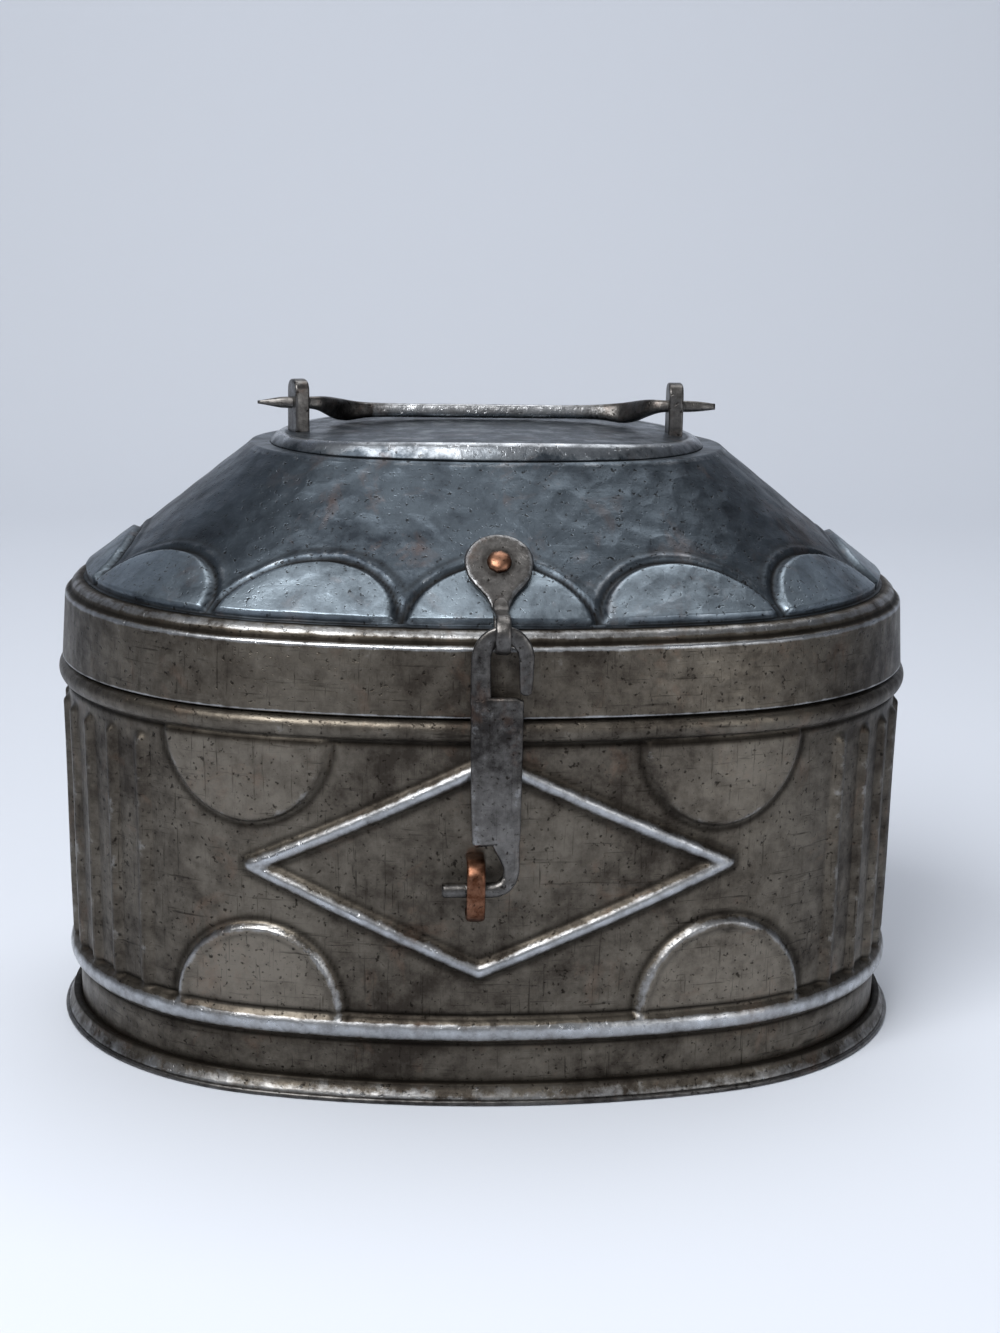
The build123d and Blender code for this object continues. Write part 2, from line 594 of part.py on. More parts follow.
def strap_outline():
    """Front view, drawn from the eye as X and Z."""
    half_bar = LOOP_BAR / 2
    low = -half_bar - LOOP_OPENING_HEIGHT
    limb_end = low + LOOP_GAP
    loop = Pos(0, (half_bar + low) / 2) * Rectangle(2 * LOOP_HALF_WIDTH, half_bar - low)
    loop = fillet(loop.vertices().group_by(Axis.Y)[-1], LOOP_CORNER)
    middle = (LOOP_OPENING_LEFT + LOOP_OPENING_RIGHT) / 2
    width = LOOP_OPENING_RIGHT - LOOP_OPENING_LEFT
    opening = Pos(middle, low + LOOP_OPENING_HEIGHT / 2)
    opening = opening * RectangleRounded(width, LOOP_OPENING_HEIGHT, width / 2 - SEAM_GAP)
    split = Pos(middle, low) * Rectangle(LOOP_HALF_WIDTH, limb_end - low, align=(Align.MIN, Align.MIN))
    pin_low = LOCK_PIN_Z - LOCK_PIN_RADIUS
    body = Polygon(
        (STRAP_LEFT, low), (STRAP_STEP_LEFT, STRAP_STEP_Z), (STRAP_TAIL_LEFT, STRAP_STEP_Z - STRAP_CORNER),
        (LOCK_PIN_ROOT_X, LOCK_PIN_Z + LOCK_PIN_RADIUS), (LOCK_PIN_ROOT_X, pin_low),
        (STRAP_CORNER, pin_low), (STRAP_RIGHT, LOCK_PIN_Z + 2 * LOCK_PIN_RADIUS), (STRAP_RIGHT, low),
        align=None)
    return loop - opening - split + body


def hasp_strap():
    plane = Plane(origin=eye_centre(), x_dir=(1, 0, 0), z_dir=(0, -1, 0))
    strap = extrude(plane * strap_outline(), STRAP_THICKNESS / 2, both=True)
    pin = Cylinder(LOCK_PIN_RADIUS, LOCK_PIN_LENGTH + STRAP_CORNER,
                   align=(Align.CENTER, Align.CENTER, Align.MAX))
    root = Plane(origin=(LOCK_PIN_ROOT_X + STRAP_CORNER, EYE_Y, lock_pin_z()), z_dir=(1, 0, 0))
    return strap + root * pin


# Staple: a strip of copper bent through the front wall
def staple_front():
    return EYE_Y - LOCK_PIN_RADIUS - STAPLE_PIN_GAP - STAPLE_THICKNESS


def wall_inner_front():
    """Y of the wall's inner face where the staple's back plate lies closest to it."""
    offset = wall_line(lock_pin_z() - STAPLE_HEIGHT / 2 - STAPLE_PLATE_MARGIN) - SHEET
    far_x = abs(STAPLE_CENTRE_X) + STAPLE_WIDTH / 2 + STAPLE_PLATE_MARGIN
    return -plan_half_width(WALL_HALF_LENGTH + offset, WALL_HALF_WIDTH + offset, far_x)


def staple_back():
    return wall_inner_front() + REST_GAP + STAPLE_PLATE_THICKNESS


def staple_slots():
    slots = []
    leg = (STAPLE_HEIGHT - STAPLE_THICKNESS) / 2
    for side in (-1, 1):
        slot = Box(STAPLE_WIDTH + 2 * SEAM_GAP, 8 * SHEET, STAPLE_THICKNESS + 2 * SEAM_GAP)
        slots.append(Pos(STAPLE_CENTRE_X, wall_inner_front(), lock_pin_z() + side * leg) * slot)
    return slots


def staple():
    front = staple_front()
    length = staple_back() - front
    centre = Pos((front + staple_back()) / 2, lock_pin_z())
    outer = centre * Rectangle(length, STAPLE_HEIGHT)
    outer = fillet(outer.vertices().group_by(Axis.X)[0], STAPLE_CORNER)
    inner = Pos(STAPLE_THICKNESS, 0) * centre * Rectangle(length, STAPLE_HEIGHT - 2 * STAPLE_THICKNESS)
    inner = fillet(inner.vertices().group_by(Axis.X)[0], STAPLE_CORNER - STAPLE_THICKNESS)
    strip = extrude(Plane.YZ * (outer - inner), STAPLE_WIDTH / 2, both=True)
    return Pos(STAPLE_CENTRE_X, 0, 0) * strip


def staple_backplate():
    width = STAPLE_WIDTH + 2 * STAPLE_PLATE_MARGIN
    height = STAPLE_HEIGHT + 2 * STAPLE_PLATE_MARGIN
    plate = Box(width, STAPLE_PLATE_THICKNESS, height)
    middle = staple_back() - STAPLE_PLATE_THICKNESS / 2
    return Pos(STAPLE_CENTRE_X, middle, lock_pin_z()) * plate - staple_slots()


# Hinge: two riveted leaves, five knuckles and a headed pin
def knuckle_span(index):
    """Start and end of one knuckle along X."""
    pitch = HINGE_WIDTH / KNUCKLE_COUNT
    start = -HINGE_WIDTH / 2 + index * pitch
    return start + KNUCKLE_GAP / 2, start + pitch - KNUCKLE_GAP / 2


def hinge_leaf(first, plate, notch):
    """Leaf with every other knuckle, from a flat plate and the notches for the other leaf."""
    leaf = plate
    for index in range(KNUCKLE_COUNT):
        start, end = knuckle_span(index)
        if index % 2 == first:
            barrel = Cylinder(KNUCKLE_RADIUS, end - start, align=(Align.CENTER, Align.CENTER, Align.MIN))
            leaf += Plane(origin=(start, HINGE_Y, HINGE_Z), z_dir=(1, 0, 0)) * barrel
        else:
            gap = Box(end - start + 2 * KNUCKLE_GAP, notch, notch)
            leaf -= Pos((start + end) / 2, HINGE_Y, HINGE_Z) * gap
    bore = Cylinder(HINGE_PIN_RADIUS + HINGE_PIN_FIT, 2 * HINGE_WIDTH)
    return leaf - Pos(0, HINGE_Y, HINGE_Z) * Rot(0, 90, 0) * bore


def leaf_plate(inner_y, low, high):
    plate = Box(HINGE_WIDTH - KNUCKLE_GAP, LEAF_THICKNESS, high - low, align=(Align.CENTER, Align.MIN, Align.MIN))
    return Pos(0, inner_y, low) * plate


def leaf_notch():
    """Side of the square cleared round the other leaf's knuckles."""
    return 2 * (KNUCKLE_RADIUS + LEAF_THICKNESS)


def hinge_body_leaf():
    """Leaf that clears the upper bead, then steps in to the wall."""
    outer_y = WALL_HALF_WIDTH + BEAD_REACH + LEAF_GAP
    step_z = HIGH_BEAD_BASE - LEAF_THICKNESS
    upper = leaf_plate(outer_y, step_z, HINGE_Z)
    step = Pos(0, BODY_LEAF_Y, step_z) * Box(
        HINGE_WIDTH - KNUCKLE_GAP, outer_y + LEAF_THICKNESS - BODY_LEAF_Y, LEAF_THICKNESS,
        align=(Align.CENTER, Align.MIN, Align.MIN))
    lower = leaf_plate(BODY_LEAF_Y, step_z - BODY_LEAF_LENGTH, step_z)
    leaf = hinge_leaf(0, upper + step + lower, leaf_notch())
    return leaf - rivet_holes(body_rivet_places(), BODY_LEAF_Y)


def hinge_lid_leaf():
    plate = leaf_plate(LID_LEAF_Y, HINGE_Z + KNUCKLE_GAP, HINGE_Z + KNUCKLE_RADIUS + LID_LEAF_LENGTH)
    leaf = hinge_leaf(1, plate, leaf_notch())
    return leaf - rivet_holes(lid_rivet_places(), LID_LEAF_Y)


def hinge_pin():
    length = HINGE_WIDTH + 2 * KNUCKLE_GAP
    pin = Cylinder(HINGE_PIN_RADIUS, length)
    for side in (-1, 1):
        head = Cylinder(HINGE_PIN_HEAD_RADIUS, HINGE_PIN_HEAD_HEIGHT)
        pin += Pos(0, 0, side * (length + HINGE_PIN_HEAD_HEIGHT) / 2) * head
    return Pos(0, HINGE_Y, HINGE_Z) * Rot(0, 90, 0) * pin


def rivet_row(z):
    columns = [HINGE_RIVET_PITCH * (i - (HINGE_RIVET_COLUMNS - 1) / 2) for i in range(HINGE_RIVET_COLUMNS)]
    return [(x, z) for x in columns]


def body_rivet_places():
    top = HIGH_BEAD_BASE - LEAF_THICKNESS
    return rivet_row(top - HINGE_RIVET_EDGE) + rivet_row(top - BODY_LEAF_LENGTH + HINGE_RIVET_EDGE)


def lid_rivet_places():
    return rivet_row(HINGE_Z + KNUCKLE_RADIUS + LID_LEAF_LENGTH - HINGE_RIVET_EDGE / 2)


def rivet_holes(places, y):
    depth = 8 * HINGE_RIVET_SHANK
    hole = Pos(0, depth / 2, 0) * Rot(90, 0, 0) * rivet_section(HINGE_RIVET_SHANK + SEAM_GAP, depth)
    return [Pos(x, y, z) * hole for x, z in places]


def rivets(places, half_width, outer_y):
    """Headed rivets from a leaf's outer face through the sheet behind it."""
    slant = degrees(atan2(HINGE_RIVET_HEAD - HINGE_RIVET_SHANK, HINGE_RIVET_DOME))
    head = rivet_section(HINGE_RIVET_HEAD, HINGE_RIVET_DOME, slant)
    made = []
    for x, z in places:
        grip = outer_y - half_width(abs(x) + HINGE_RIVET_HEAD, z) + SHEET + 2 * SEAM_GAP
        shank = Pos(0, 0, -grip) * rivet_section(HINGE_RIVET_SHANK, grip)
        tail = Pos(0, 0, -grip - HINGE_RIVET_DOME / 2)
        tail = tail * rivet_section(HINGE_RIVET_HEAD * RIVET_HEAD_TAPER, HINGE_RIVET_DOME / 2)
        made.append(Plane(origin=(x, outer_y, z), z_dir=(0, 1, 0)) * (head + shank + tail))
    return made


def wall_depth(x, z):
    """Y of the wall's outer face at the back."""
    return plan_half_width(WALL_HALF_LENGTH + wall_line(z), WALL_HALF_WIDTH + wall_line(z), x)


def band_depth(x, z):
    """Y of the band's outer face at the back."""
    offset = -BAND_DRAFT * (z - BAND_BASE) / BAND_HEIGHT
    return plan_half_width(BAND_HALF_LENGTH + offset, BAND_HALF_WIDTH + offset, x)


BODY_LEAF_Y = WALL_HALF_WIDTH + LEAF_GAP
LID_LEAF_Y = BAND_HALF_WIDTH + LEAF_GAP


def write(name, shape):
    """Write one node: a solid, or a group of separate solids."""
    solids = shape if isinstance(shape, (list, tuple)) else [shape]
    flat = []
    for item in solids:
        flat += item.solids()
    export_step(flat[0] if len(flat) == 1 else Compound(flat), f"parts/{name}.step")


PIECES = {
    "body_wall": body_wall,
    "bottom_pan": bottom_pan,
    "foot_rim": foot_rim,
    "staple": staple,
    "staple_backplate": staple_backplate,
    "hinge_body_leaf": hinge_body_leaf,
    "hinge_pin": hinge_pin,
    "hinge_body_rivets": lambda: rivets(body_rivet_places(), wall_depth, BODY_LEAF_Y + LEAF_THICKNESS),
    "lid_band": lid_band,
    "lid_hood": lid_hood,
    "lid_top_plate": lid_top_plate,
    "left_ear": lambda: ear(*ear_turns()[0]),
    "right_ear": lambda: ear(*ear_turns()[1]),
    "ear_clench_plates": ear_clench_plates,
    "hinge_lid_leaf": hinge_lid_leaf,
    "hinge_lid_rivets": lambda: rivets(lid_rivet_places(), band_depth, LID_LEAF_Y + LEAF_THICKNESS),
    "hasp_rivet": hasp_rivet,
    "hasp_plate": hasp_plate,
    "hasp_strap": hasp_strap,
    "bail_handle": bail_handle,
}

os.makedirs("parts", exist_ok=True)
for piece_name, make in PIECES.items():
    write(piece_name, make())
print("eye at", eye_centre())
print("hinge at", 0, round(HINGE_Y, 3), round(HINGE_Z, 3))
print("bail pivot at", 0, 0, round(PIVOT_Z, 3))
print("hasp rivet at", hasp_plane().origin, hasp_plane().z_dir)
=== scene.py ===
import json
import math

import bpy
import numpy as np
from bpy.props import FloatProperty, FloatVectorProperty, IntProperty, PointerProperty
from mathutils import Matrix, Vector


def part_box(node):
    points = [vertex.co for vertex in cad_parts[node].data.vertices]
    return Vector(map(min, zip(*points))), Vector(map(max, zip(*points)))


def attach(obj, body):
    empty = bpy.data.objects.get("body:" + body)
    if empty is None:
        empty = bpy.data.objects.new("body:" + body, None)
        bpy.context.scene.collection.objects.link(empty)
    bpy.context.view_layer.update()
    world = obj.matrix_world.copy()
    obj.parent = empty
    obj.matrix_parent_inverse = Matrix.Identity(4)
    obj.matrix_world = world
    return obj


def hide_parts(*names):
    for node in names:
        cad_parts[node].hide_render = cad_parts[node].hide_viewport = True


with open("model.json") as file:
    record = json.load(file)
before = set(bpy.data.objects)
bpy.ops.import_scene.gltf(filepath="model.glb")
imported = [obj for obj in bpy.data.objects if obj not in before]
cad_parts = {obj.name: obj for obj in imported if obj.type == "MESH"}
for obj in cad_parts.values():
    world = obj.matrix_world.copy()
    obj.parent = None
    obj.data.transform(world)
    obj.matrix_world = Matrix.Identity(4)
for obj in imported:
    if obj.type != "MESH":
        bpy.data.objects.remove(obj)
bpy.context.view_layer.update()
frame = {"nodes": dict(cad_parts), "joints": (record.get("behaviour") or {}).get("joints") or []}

MM = 0.001

bl_info = {
    "name": "Tinned Copper Box",
    "version": (1, 0),
    "blender": (4, 5, 0),
    "location": "View3D > Sidebar > Copper Box",
    "description": "Builds the hammered sheet, the fittings and the finishes of an oval tinned copper box",
    "category": "Object",
}


def node_mm(node):
    """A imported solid's low and high corners, in millimetres."""
    low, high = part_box(node)
    return np.array(low) / MM, np.array(high) / MM


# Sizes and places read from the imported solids, in millimetres as all sizes below
PAN_TOP = node_mm("bottom_pan")[1][2]
WALL_HIGH = node_mm("body_wall")[1]
FOOT_HIGH = node_mm("foot_rim")[1]
BAND_LOW, BAND_HIGH = node_mm("lid_band")
HOOD_LOW, HOOD_HIGH = node_mm("lid_hood")
PLATE_LOW, PLATE_HIGH = node_mm("lid_top_plate")
EAR_LOW, EAR_HIGH = node_mm("right_ear")
STAPLE_LOW, STAPLE_HIGH = node_mm("staple")
STRAP_LOW = node_mm("hasp_strap")[0]
BODY_RIVETS = node_mm("hinge_body_rivets")
LID_RIVETS = node_mm("hinge_lid_rivets")
JOINTS = {joint["name"]: joint for joint in frame["joints"]}
PIVOT, EYE, LEAF_SEAT = (np.array(JOINTS[name]["pos_m"]) / MM
                         for name in ("bail_swing", "hasp_lift", "hasp_swivel"))

# The oval plan: four arcs, whose side arcs turn this far each way from the middle
SIDE_TURN = math.radians(16.0)
SHEET = 1.2
WALL_FLARE = 1.8
BEAD_REACH = 2.7
WALL_HALF_LENGTH = WALL_HIGH[0] - BEAD_REACH
WALL_HALF_WIDTH = WALL_HIGH[1] - BEAD_REACH
LOW_BEAD = (17.0, 24.0)
HIGH_BEAD = (102.0, 108.4)
NECK_INSET = 0.5
NECK_EDGE = 0.5
NECK_RUN = 1.2
WAVE_DEPTH = 0.18

# Raised work on the wall, as X and height
DIAMOND_CORNERS = ((-66.0, 65.2), (-4.6, 37.7), (63.4, 66.4), (-1.2, 96.8))
RIDGE_HALF_WIDTH = 2.3
# Each half disc: middle, half width, height of its straight edge, and rise, downwards where negative
DISCS_HIGH = ((-67.3, 22.6, 102.0, -25.0), (61.2, 22.6, 102.0, -25.6))
DISCS_LOW = ((-64.6, 23.4, 23.0, 26.1), (63.1, 24.4, 23.0, 27.6))
DISC_EDGE = 1.5
DISC_SUNK = 0.42
RIM_WIDTH = 2.6
LINE_AWAY = 0.9
LINE_DEPTH = 0.35
RIB_COUNT = 11
RIB_PITCH = 13.2
RIB_HALF_WIDTH = 2.0
RIB_FOOT = 22.0
RIB_TOP = 98.5

# The lid
BAND_DRAFT = 1.1
BAND_RISE = 18.6
SHOULDER_INSET = 5.2
HOOD_INSET = 6.4
HOOD_TOP_HALF_LENGTH = 69.0
HOOD_TOP_HALF_WIDTH = 43.0
HOOD_HALF_LENGTH = BAND_HIGH[0] - HOOD_INSET
HOOD_HALF_WIDTH = BAND_HIGH[1] - HOOD_INSET
HOOD_MIDDLE = (4.0, 2.5)
SCALLOP_COUNT = 12
SCALLOP_RADIUS = 25.6
SCALLOP_RISE = 19.0
SCALLOP_FOOT = 1.6
PLATE_BEVEL = 3.6
PLATE_CROWN = 2.6
PLATE_MIDDLE = 0.03

# Fittings
EAR_CORNER = 0.44
EAR_RIM = 0.7
LEFT_EAR_TWIST = 17.0
BAIL_REACH = 15.0
BAIL_CLEARANCE = 0.4
BAIL_HALF_THICKNESS = 2.0
BAIL_PIN_SHOULDER = 60.0
BAIL_PIN_TIP = 66.9
LEAF_RADIUS = 9.3
LEAF_RISE = 0.4
LEAF_NECK = 3.7
LEAF_THICKNESS = 1.4
EYE_RADIUS = 4.7
HOOK_WIDTH = 4.1
HOOK_TIP = 8.9
STRAP_THICKNESS = 2.0
LOCK_PIN_RADIUS = 2.1
STAPLE_THICKNESS = 1.9
STAPLE_BEND = 4.2
RIVET_SPAN = 26.0
RIVET_HEIGHT = 1.1
HEM_CLEARANCE = 0.02

# How finely the sheets are drawn: where each run of columns or rows ends, and how many are in it
WALL_RUNS = ((0.148, 102), (0.352, 118), (0.648, 110), (0.852, 118), (1.0, 102))
HOOD_RUNS = ((0.46, 46), (1.0, 25))
HOOD_COLUMNS = 640
BAND_COLUMNS = 420
PLATE_COLUMNS = 320
HEM_COLUMNS = 240

# The photograph's camera, and the lamps: place in metres, size in metres, power in watts
FOCAL_PX = 2400.0
FRAME_HEIGHT_PX = 1333.0
SENSOR = 36.0
CAMERA_SPOT = (-37.8, -700.0, 263.0)
CAMERA_YAW, CAMERA_PITCH, CAMERA_ROLL = (math.radians(a) for a in (3.5, 12.85, 1.0))
LAMP_AIM = (0.0, 0.0, 0.1)
LAMPS = {"key_soft_light": ((-0.6, -0.95, 1.2), 0.9, 30.0),
         "top_soft_light": ((0.2, 0.5, 1.7), 1.2, 13.0),
         "fill_soft_light": ((1.1, -1.3, 0.45), 0.9, 6.0)}
ROOM_STRENGTH = 0.3

# The backdrop, in metres
FLOOR_HALF_WIDTH = 4.0
FLOOR_FRONT = -4.0
FLOOR_BACK = 0.9
SWEEP_RADIUS = 0.6
BACKDROP_TOP = 3.2


def linear(text):
    """An sRGB hex colour as linear red, green and blue."""
    parts = [int(text[i:i + 2], 16) / 255 for i in (1, 3, 5)]
    return [p / 12.92 if p <= 0.04045 else ((p + 0.055) / 1.055) ** 2.4 for p in parts]


def colour_property(name, description, text):
    return FloatVectorProperty(name=name, description=description, default=linear(text), size=3,
                               subtype="COLOR", min=0.0, max=1.0)


def length_property(name, description, millimetres):
    return FloatProperty(name=name, description=description, default=millimetres * MM,
                         subtype="DISTANCE", unit="LENGTH", precision=5, min=0.0)


class CopperBoxSizes(bpy.types.PropertyGroup):
    """Sizes that a maker would change without changing the solids."""
    ridge_height: length_property("Ridge height", "How far the diamond's ridge stands out of the wall", 2.2)
    disc_height: length_property("Half-disc height", "How far the half discs stand out of the wall", 1.9)
    rib_height: length_property("Rib height", "How far the end ribs stand out of the wall", 1.8)
    scallop_height: length_property("Scallop height", "How far the scallops stand out of the hood", 1.9)
    hem_radius: length_property("Hem radius", "Radius of the rolled edge round the foot", 0.8)
    rivet_facets: IntProperty(name="Rivet facets", description="Hammered flats round each rivet", default=8,
                              min=5, max=16)
    rivet_radius: length_property("Rivet radius", "Radius of the hinge rivets' heads", 2.2)
    hammer_mark: length_property("Hammer mark", "Width of one planishing mark on the hood", 6.0)


class CopperBoxColours(bpy.types.PropertyGroup):
    """Colours of the tin, its dirt and the copper that shows through, with painted reflections on the hood
    and painted highlights in the bright tin colour.
    """
    wall_dark: colour_property("Wall patina", "Dark brown-grey tin in the wall's hollows", "#38332e")
    wall_mid: colour_property("Wall tin", "Rubbed grey-brown tin on the wall", "#69635a")
    wall_face: colour_property("Half-disc face", "Smoother, lighter tin on the half discs", "#7c756b")
    # The scallop face colour is a painted reflection: the light blue-grey of a bright sky on the scallops'
    # faces.
    scallop_face_reflection: colour_property("Scallop face", "Light blue-grey tin on the scallops", "#9ba8b2")
    # The hood's dark and mid tones are partly tin and partly a painted reflection of a dark room, darker and
    # bluer than the wall.
    hood_dark: colour_property("Hood patina", "Dark blue-grey tin on the hood", "#2b3036")
    hood_mid: colour_property("Hood tin", "Rubbed blue-grey tin on the hood", "#5b646c")
    fitting_dark: colour_property("Fitting patina", "Dark tin in the fittings' corners", "#2e2c2b")
    fitting_mid: colour_property("Fitting tin", "Rubbed tin on the fittings", "#6c6a68")
    # This colour paints tin bright where hands rub it and also painted highlights on crests, edges and
    # bevels.
    worn_and_highlight: colour_property("Worn tin", "Bright metal where hands rub", "#b6b9bd")
    copper_rub: colour_property("Copper tinge", "Copper that shows through thin tin", "#8d6a55")
    soot: colour_property("Old dirt", "Dirt in the deepest lines", "#171411")
    copper_dark: colour_property("Dark copper", "Toned brown copper", "#4d2f20")
    copper_bright: colour_property("Rubbed copper", "Rubbed copper", "#8f6a56")
    backdrop: colour_property("Backdrop", "Pale floor and backdrop", "#ccd1da")


def sizes():
    return bpy.context.scene.copper_box_sizes


def colours():
    return bpy.context.scene.copper_box_colours


# Oval plan
def arc_radii(half_length, half_width):
    """Radii of an oval's side arcs and end arcs."""
    sine, cosine = math.sin(SIDE_TURN), math.cos(SIDE_TURN)
    share = sine * cosine - (1 - sine) * (1 - cosine)
    side = (half_length * cosine - half_width * (1 - sine)) / share
    end = (half_width * sine - half_length * (1 - cosine)) / share
    return side, end


def turns_at(half_length, half_width, shares):
    """Directions round an oval, from the middle of the front towards +X, at shares of its length."""
    side, end = arc_radii(half_length, half_width)
    corners = [0, SIDE_TURN, math.pi - SIDE_TURN, math.pi + SIDE_TURN, 2 * math.pi - SIDE_TURN, 2 * math.pi]
    radii = [side, end, side, end, side]
    lengths = np.concatenate([[0], np.cumsum(np.diff(corners) * radii)])
    return np.interp(np.asarray(shares) * lengths[-1], lengths, corners), lengths[-1]


def even(count):
    return np.arange(count) / count


def stepped(runs, start=0.0):
    """Steps through runs that each give their end and their count, up to the last end but without it."""
    starts = (start,) + tuple(end for end, _ in runs[:-1])
    return np.concatenate([np.linspace(low, high, count, endpoint=False)
                           for low, (high, count) in zip(starts, runs)])


def outwards(turns):
    """Outward directions in plan, which face the front at a turn of 0."""
    return np.stack([np.sin(turns), -np.cos(turns)], -1)


def oval(half_length, half_width, turns):
    """Points of an oval whose outward directions are given."""
    side, end = arc_radii(half_length, half_width)
    facing = outwards(turns)
    on_side = np.abs(facing[:, 0]) <= math.sin(SIDE_TURN) + 1e-9
    side_centre = np.stack([0 * turns, np.sign(facing[:, 1]) * (half_width - side)], -1)
    end_centre = np.stack([np.sign(facing[:, 0]) * (half_length - end), 0 * turns], -1)
    return np.where(on_side[:, None], side_centre + side * facing, end_centre + end * facing)


def level_ring(half_length, half_width, turns, height):
    """Points of an oval, all at one height."""
    return np.column_stack([oval(half_length, half_width, turns), np.full(len(turns), height)])


# Relief, as shares from 0 to 1
def smooth(share):
    """A share from 0 to 1 with its ends eased."""
    share = np.clip(share, 0, 1)
    return share * share * (3 - 2 * share)


def hump(distance, half_width):
    """A half-round ridge of unit height."""
    return np.sqrt(np.clip(1 - (distance / half_width) ** 2, 0, 1))


def chased(distance, width):
    """A soft chased line of unit depth."""
    return np.exp(-(distance / width) ** 2)


def inside_half_oval(across, up, half_width, rise):
    """How far places lie inside a half oval's edge, and their share of the way out to it.

    The places are measured from the middle of its straight edge.
    """
    share_across, share_up = across / half_width, up / rise
    way_out = np.hypot(share_across, share_up)
    slope = np.hypot(share_across / half_width, share_up / rise) / np.clip(way_out, 0.05, None)
    return (1 - way_out) / np.clip(slope, 1e-3, None), way_out


# Meshes. Their points carry shares that the finishes read: wear marks bright tin where hands rub and also
# painted highlights, recess holds dirt, and face is the smoother, lighter tin of what stands out, a painted
# reflection on the hood's scallops.
def surface(name, points, looped=False, **shares):
    """A closed mesh through rings of points in millimetres, each ring closed on itself.

    A looped surface joins its last ring to its first, and any other is capped at both ends.
    """
    rows, columns = points.shape[:2]
    index = np.arange(rows * columns).reshape(rows, columns)
    low = index if looped else index[:-1]
    high = np.roll(index, -1, 0) if looped else index[1:]
    quads = np.stack([low, np.roll(low, -1, 1), np.roll(high, -1, 1), high], -1).reshape(-1, 4)
    loops = quads.ravel()
    starts = np.arange(0, len(loops), 4)
    if not looped:
        loops = np.concatenate([loops, index[0][::-1], index[-1]])
        starts = np.concatenate([starts, [quads.size, quads.size + columns]])
    mesh = bpy.data.meshes.new(name)
    mesh.vertices.add(rows * columns)
    mesh.vertices.foreach_set("co", (points * MM).astype(np.float32).ravel())
    mesh.loops.add(len(loops))
    mesh.loops.foreach_set("vertex_index", loops.astype(np.int32))
    mesh.polygons.add(len(starts))
    mesh.polygons.foreach_set("loop_start", starts.astype(np.int32))
    mesh.update(calc_edges=True)
    for key, values in shares.items():
        layer = mesh.attributes.new(key, "FLOAT", "POINT")
        layer.data.foreach_set("value", np.broadcast_to(values, (rows, columns)).astype(np.float32).ravel())
    mesh.shade_smooth()
    return mesh


def shell_rings(half_length, half_width, turns, offsets, heights):
    """Rings round an oval, each point moved outwards by its offset and set at its height."""
    spots = oval(half_length, half_width, turns) + offsets[..., None] * outwards(turns)
    return np.concatenate([spots, heights[..., None]], -1)


def profile_shell(name, half_length, half_width, profile):
    """A closed shell whose section is a list of heights, offsets, wear and recess."""
    turns, _ = turns_at(half_length, half_width, even(BAND_COLUMNS))
    heights, offsets, wear, recess = np.array(profile).T[..., None] + np.zeros(BAND_COLUMNS)
    rings = shell_rings(half_length, half_width, turns, offsets, heights)
    return surface(name, rings, looped=True, wear=wear, recess=recess)


def sweep(name, path, widths, depths, across=None, corner=3.0, sides=20, rolls=0.0, painted_highlight=0.0):
    """A bar along a path, whose width lies across it: by default in the plane of X and Z.

    Its section is round where the corner is 2, and squarer the higher it is. Its edges are bright where hands
    rub and with a painted highlight, and a painted highlight can be laid along it.
    """
    def at_each(value):
        return np.broadcast_to(value, len(path))[:, None]

    path = np.asarray(path, float)
    along = np.gradient(path, axis=0)
    along /= np.linalg.norm(along, axis=1)[:, None]
    across = np.cross((0.0, 1.0, 0.0), along) if across is None else np.broadcast_to(across, path.shape)
    across = across - along * np.sum(across * along, 1)[:, None]
    across /= np.linalg.norm(across, axis=1)[:, None]
    deep = np.cross(along, across)
    cosine, sine = at_each(np.cos(rolls)), at_each(np.sin(rolls))
    across, deep = across * cosine + deep * sine, deep * cosine - across * sine
    turns = np.linspace(0, 2 * math.pi, sides, endpoint=False) + math.pi / sides
    power = 2 / at_each(corner)
    share_w, share_d = (np.sign(wave) * np.abs(wave) ** power for wave in (np.cos(turns), np.sin(turns)))
    rings = (path[:, None] + across[:, None] * (at_each(widths) / 2 * share_w)[..., None]
             + deep[:, None] * (at_each(depths) / 2 * share_d)[..., None])
    # A little bright tin all over, more on the edges where hands rub and as a painted edge highlight, plus
    # any painted highlight along the path
    all_over, edge_wear_and_highlight = 0.08, 0.4
    wear = all_over + edge_wear_and_highlight * np.abs(share_w * share_d) ** 4 + at_each(painted_highlight)
    return surface(name, rings, wear=wear)


def baked(piece):
    """The mesh that an object's modifiers make; the object itself is removed."""
    evaluated = piece.evaluated_get(bpy.context.evaluated_depsgraph_get())
    mesh = bpy.data.meshes.new_from_object(evaluated)
    mesh.name = piece.name
    source = piece.data
    bpy.data.objects.remove(piece)
    if source.users == 0:
        bpy.data.meshes.remove(source)
    return mesh


def new_object(name, data):
    item = bpy.data.objects.new(name, data)
    bpy.context.collection.objects.link(item)
    return item


def place_piece(name, meshes, material, body, slot, *nodes):
    """Join meshes into one piece that rides on a body and stands for CAD nodes."""
    parts = []
    for mesh in meshes:
        mesh.materials.clear()
        mesh.materials.append(material)
        parts.append(new_object(name, mesh))
    piece = parts[0]
    if len(parts) > 1:
        with bpy.context.temp_override(active_object=piece, object=piece, selected_objects=parts,
                                       selected_editable_objects=parts):
            bpy.ops.object.join()
    piece.name = name
    piece.data.name = name
    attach(piece, body)
    if nodes:
        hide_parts(*nodes)


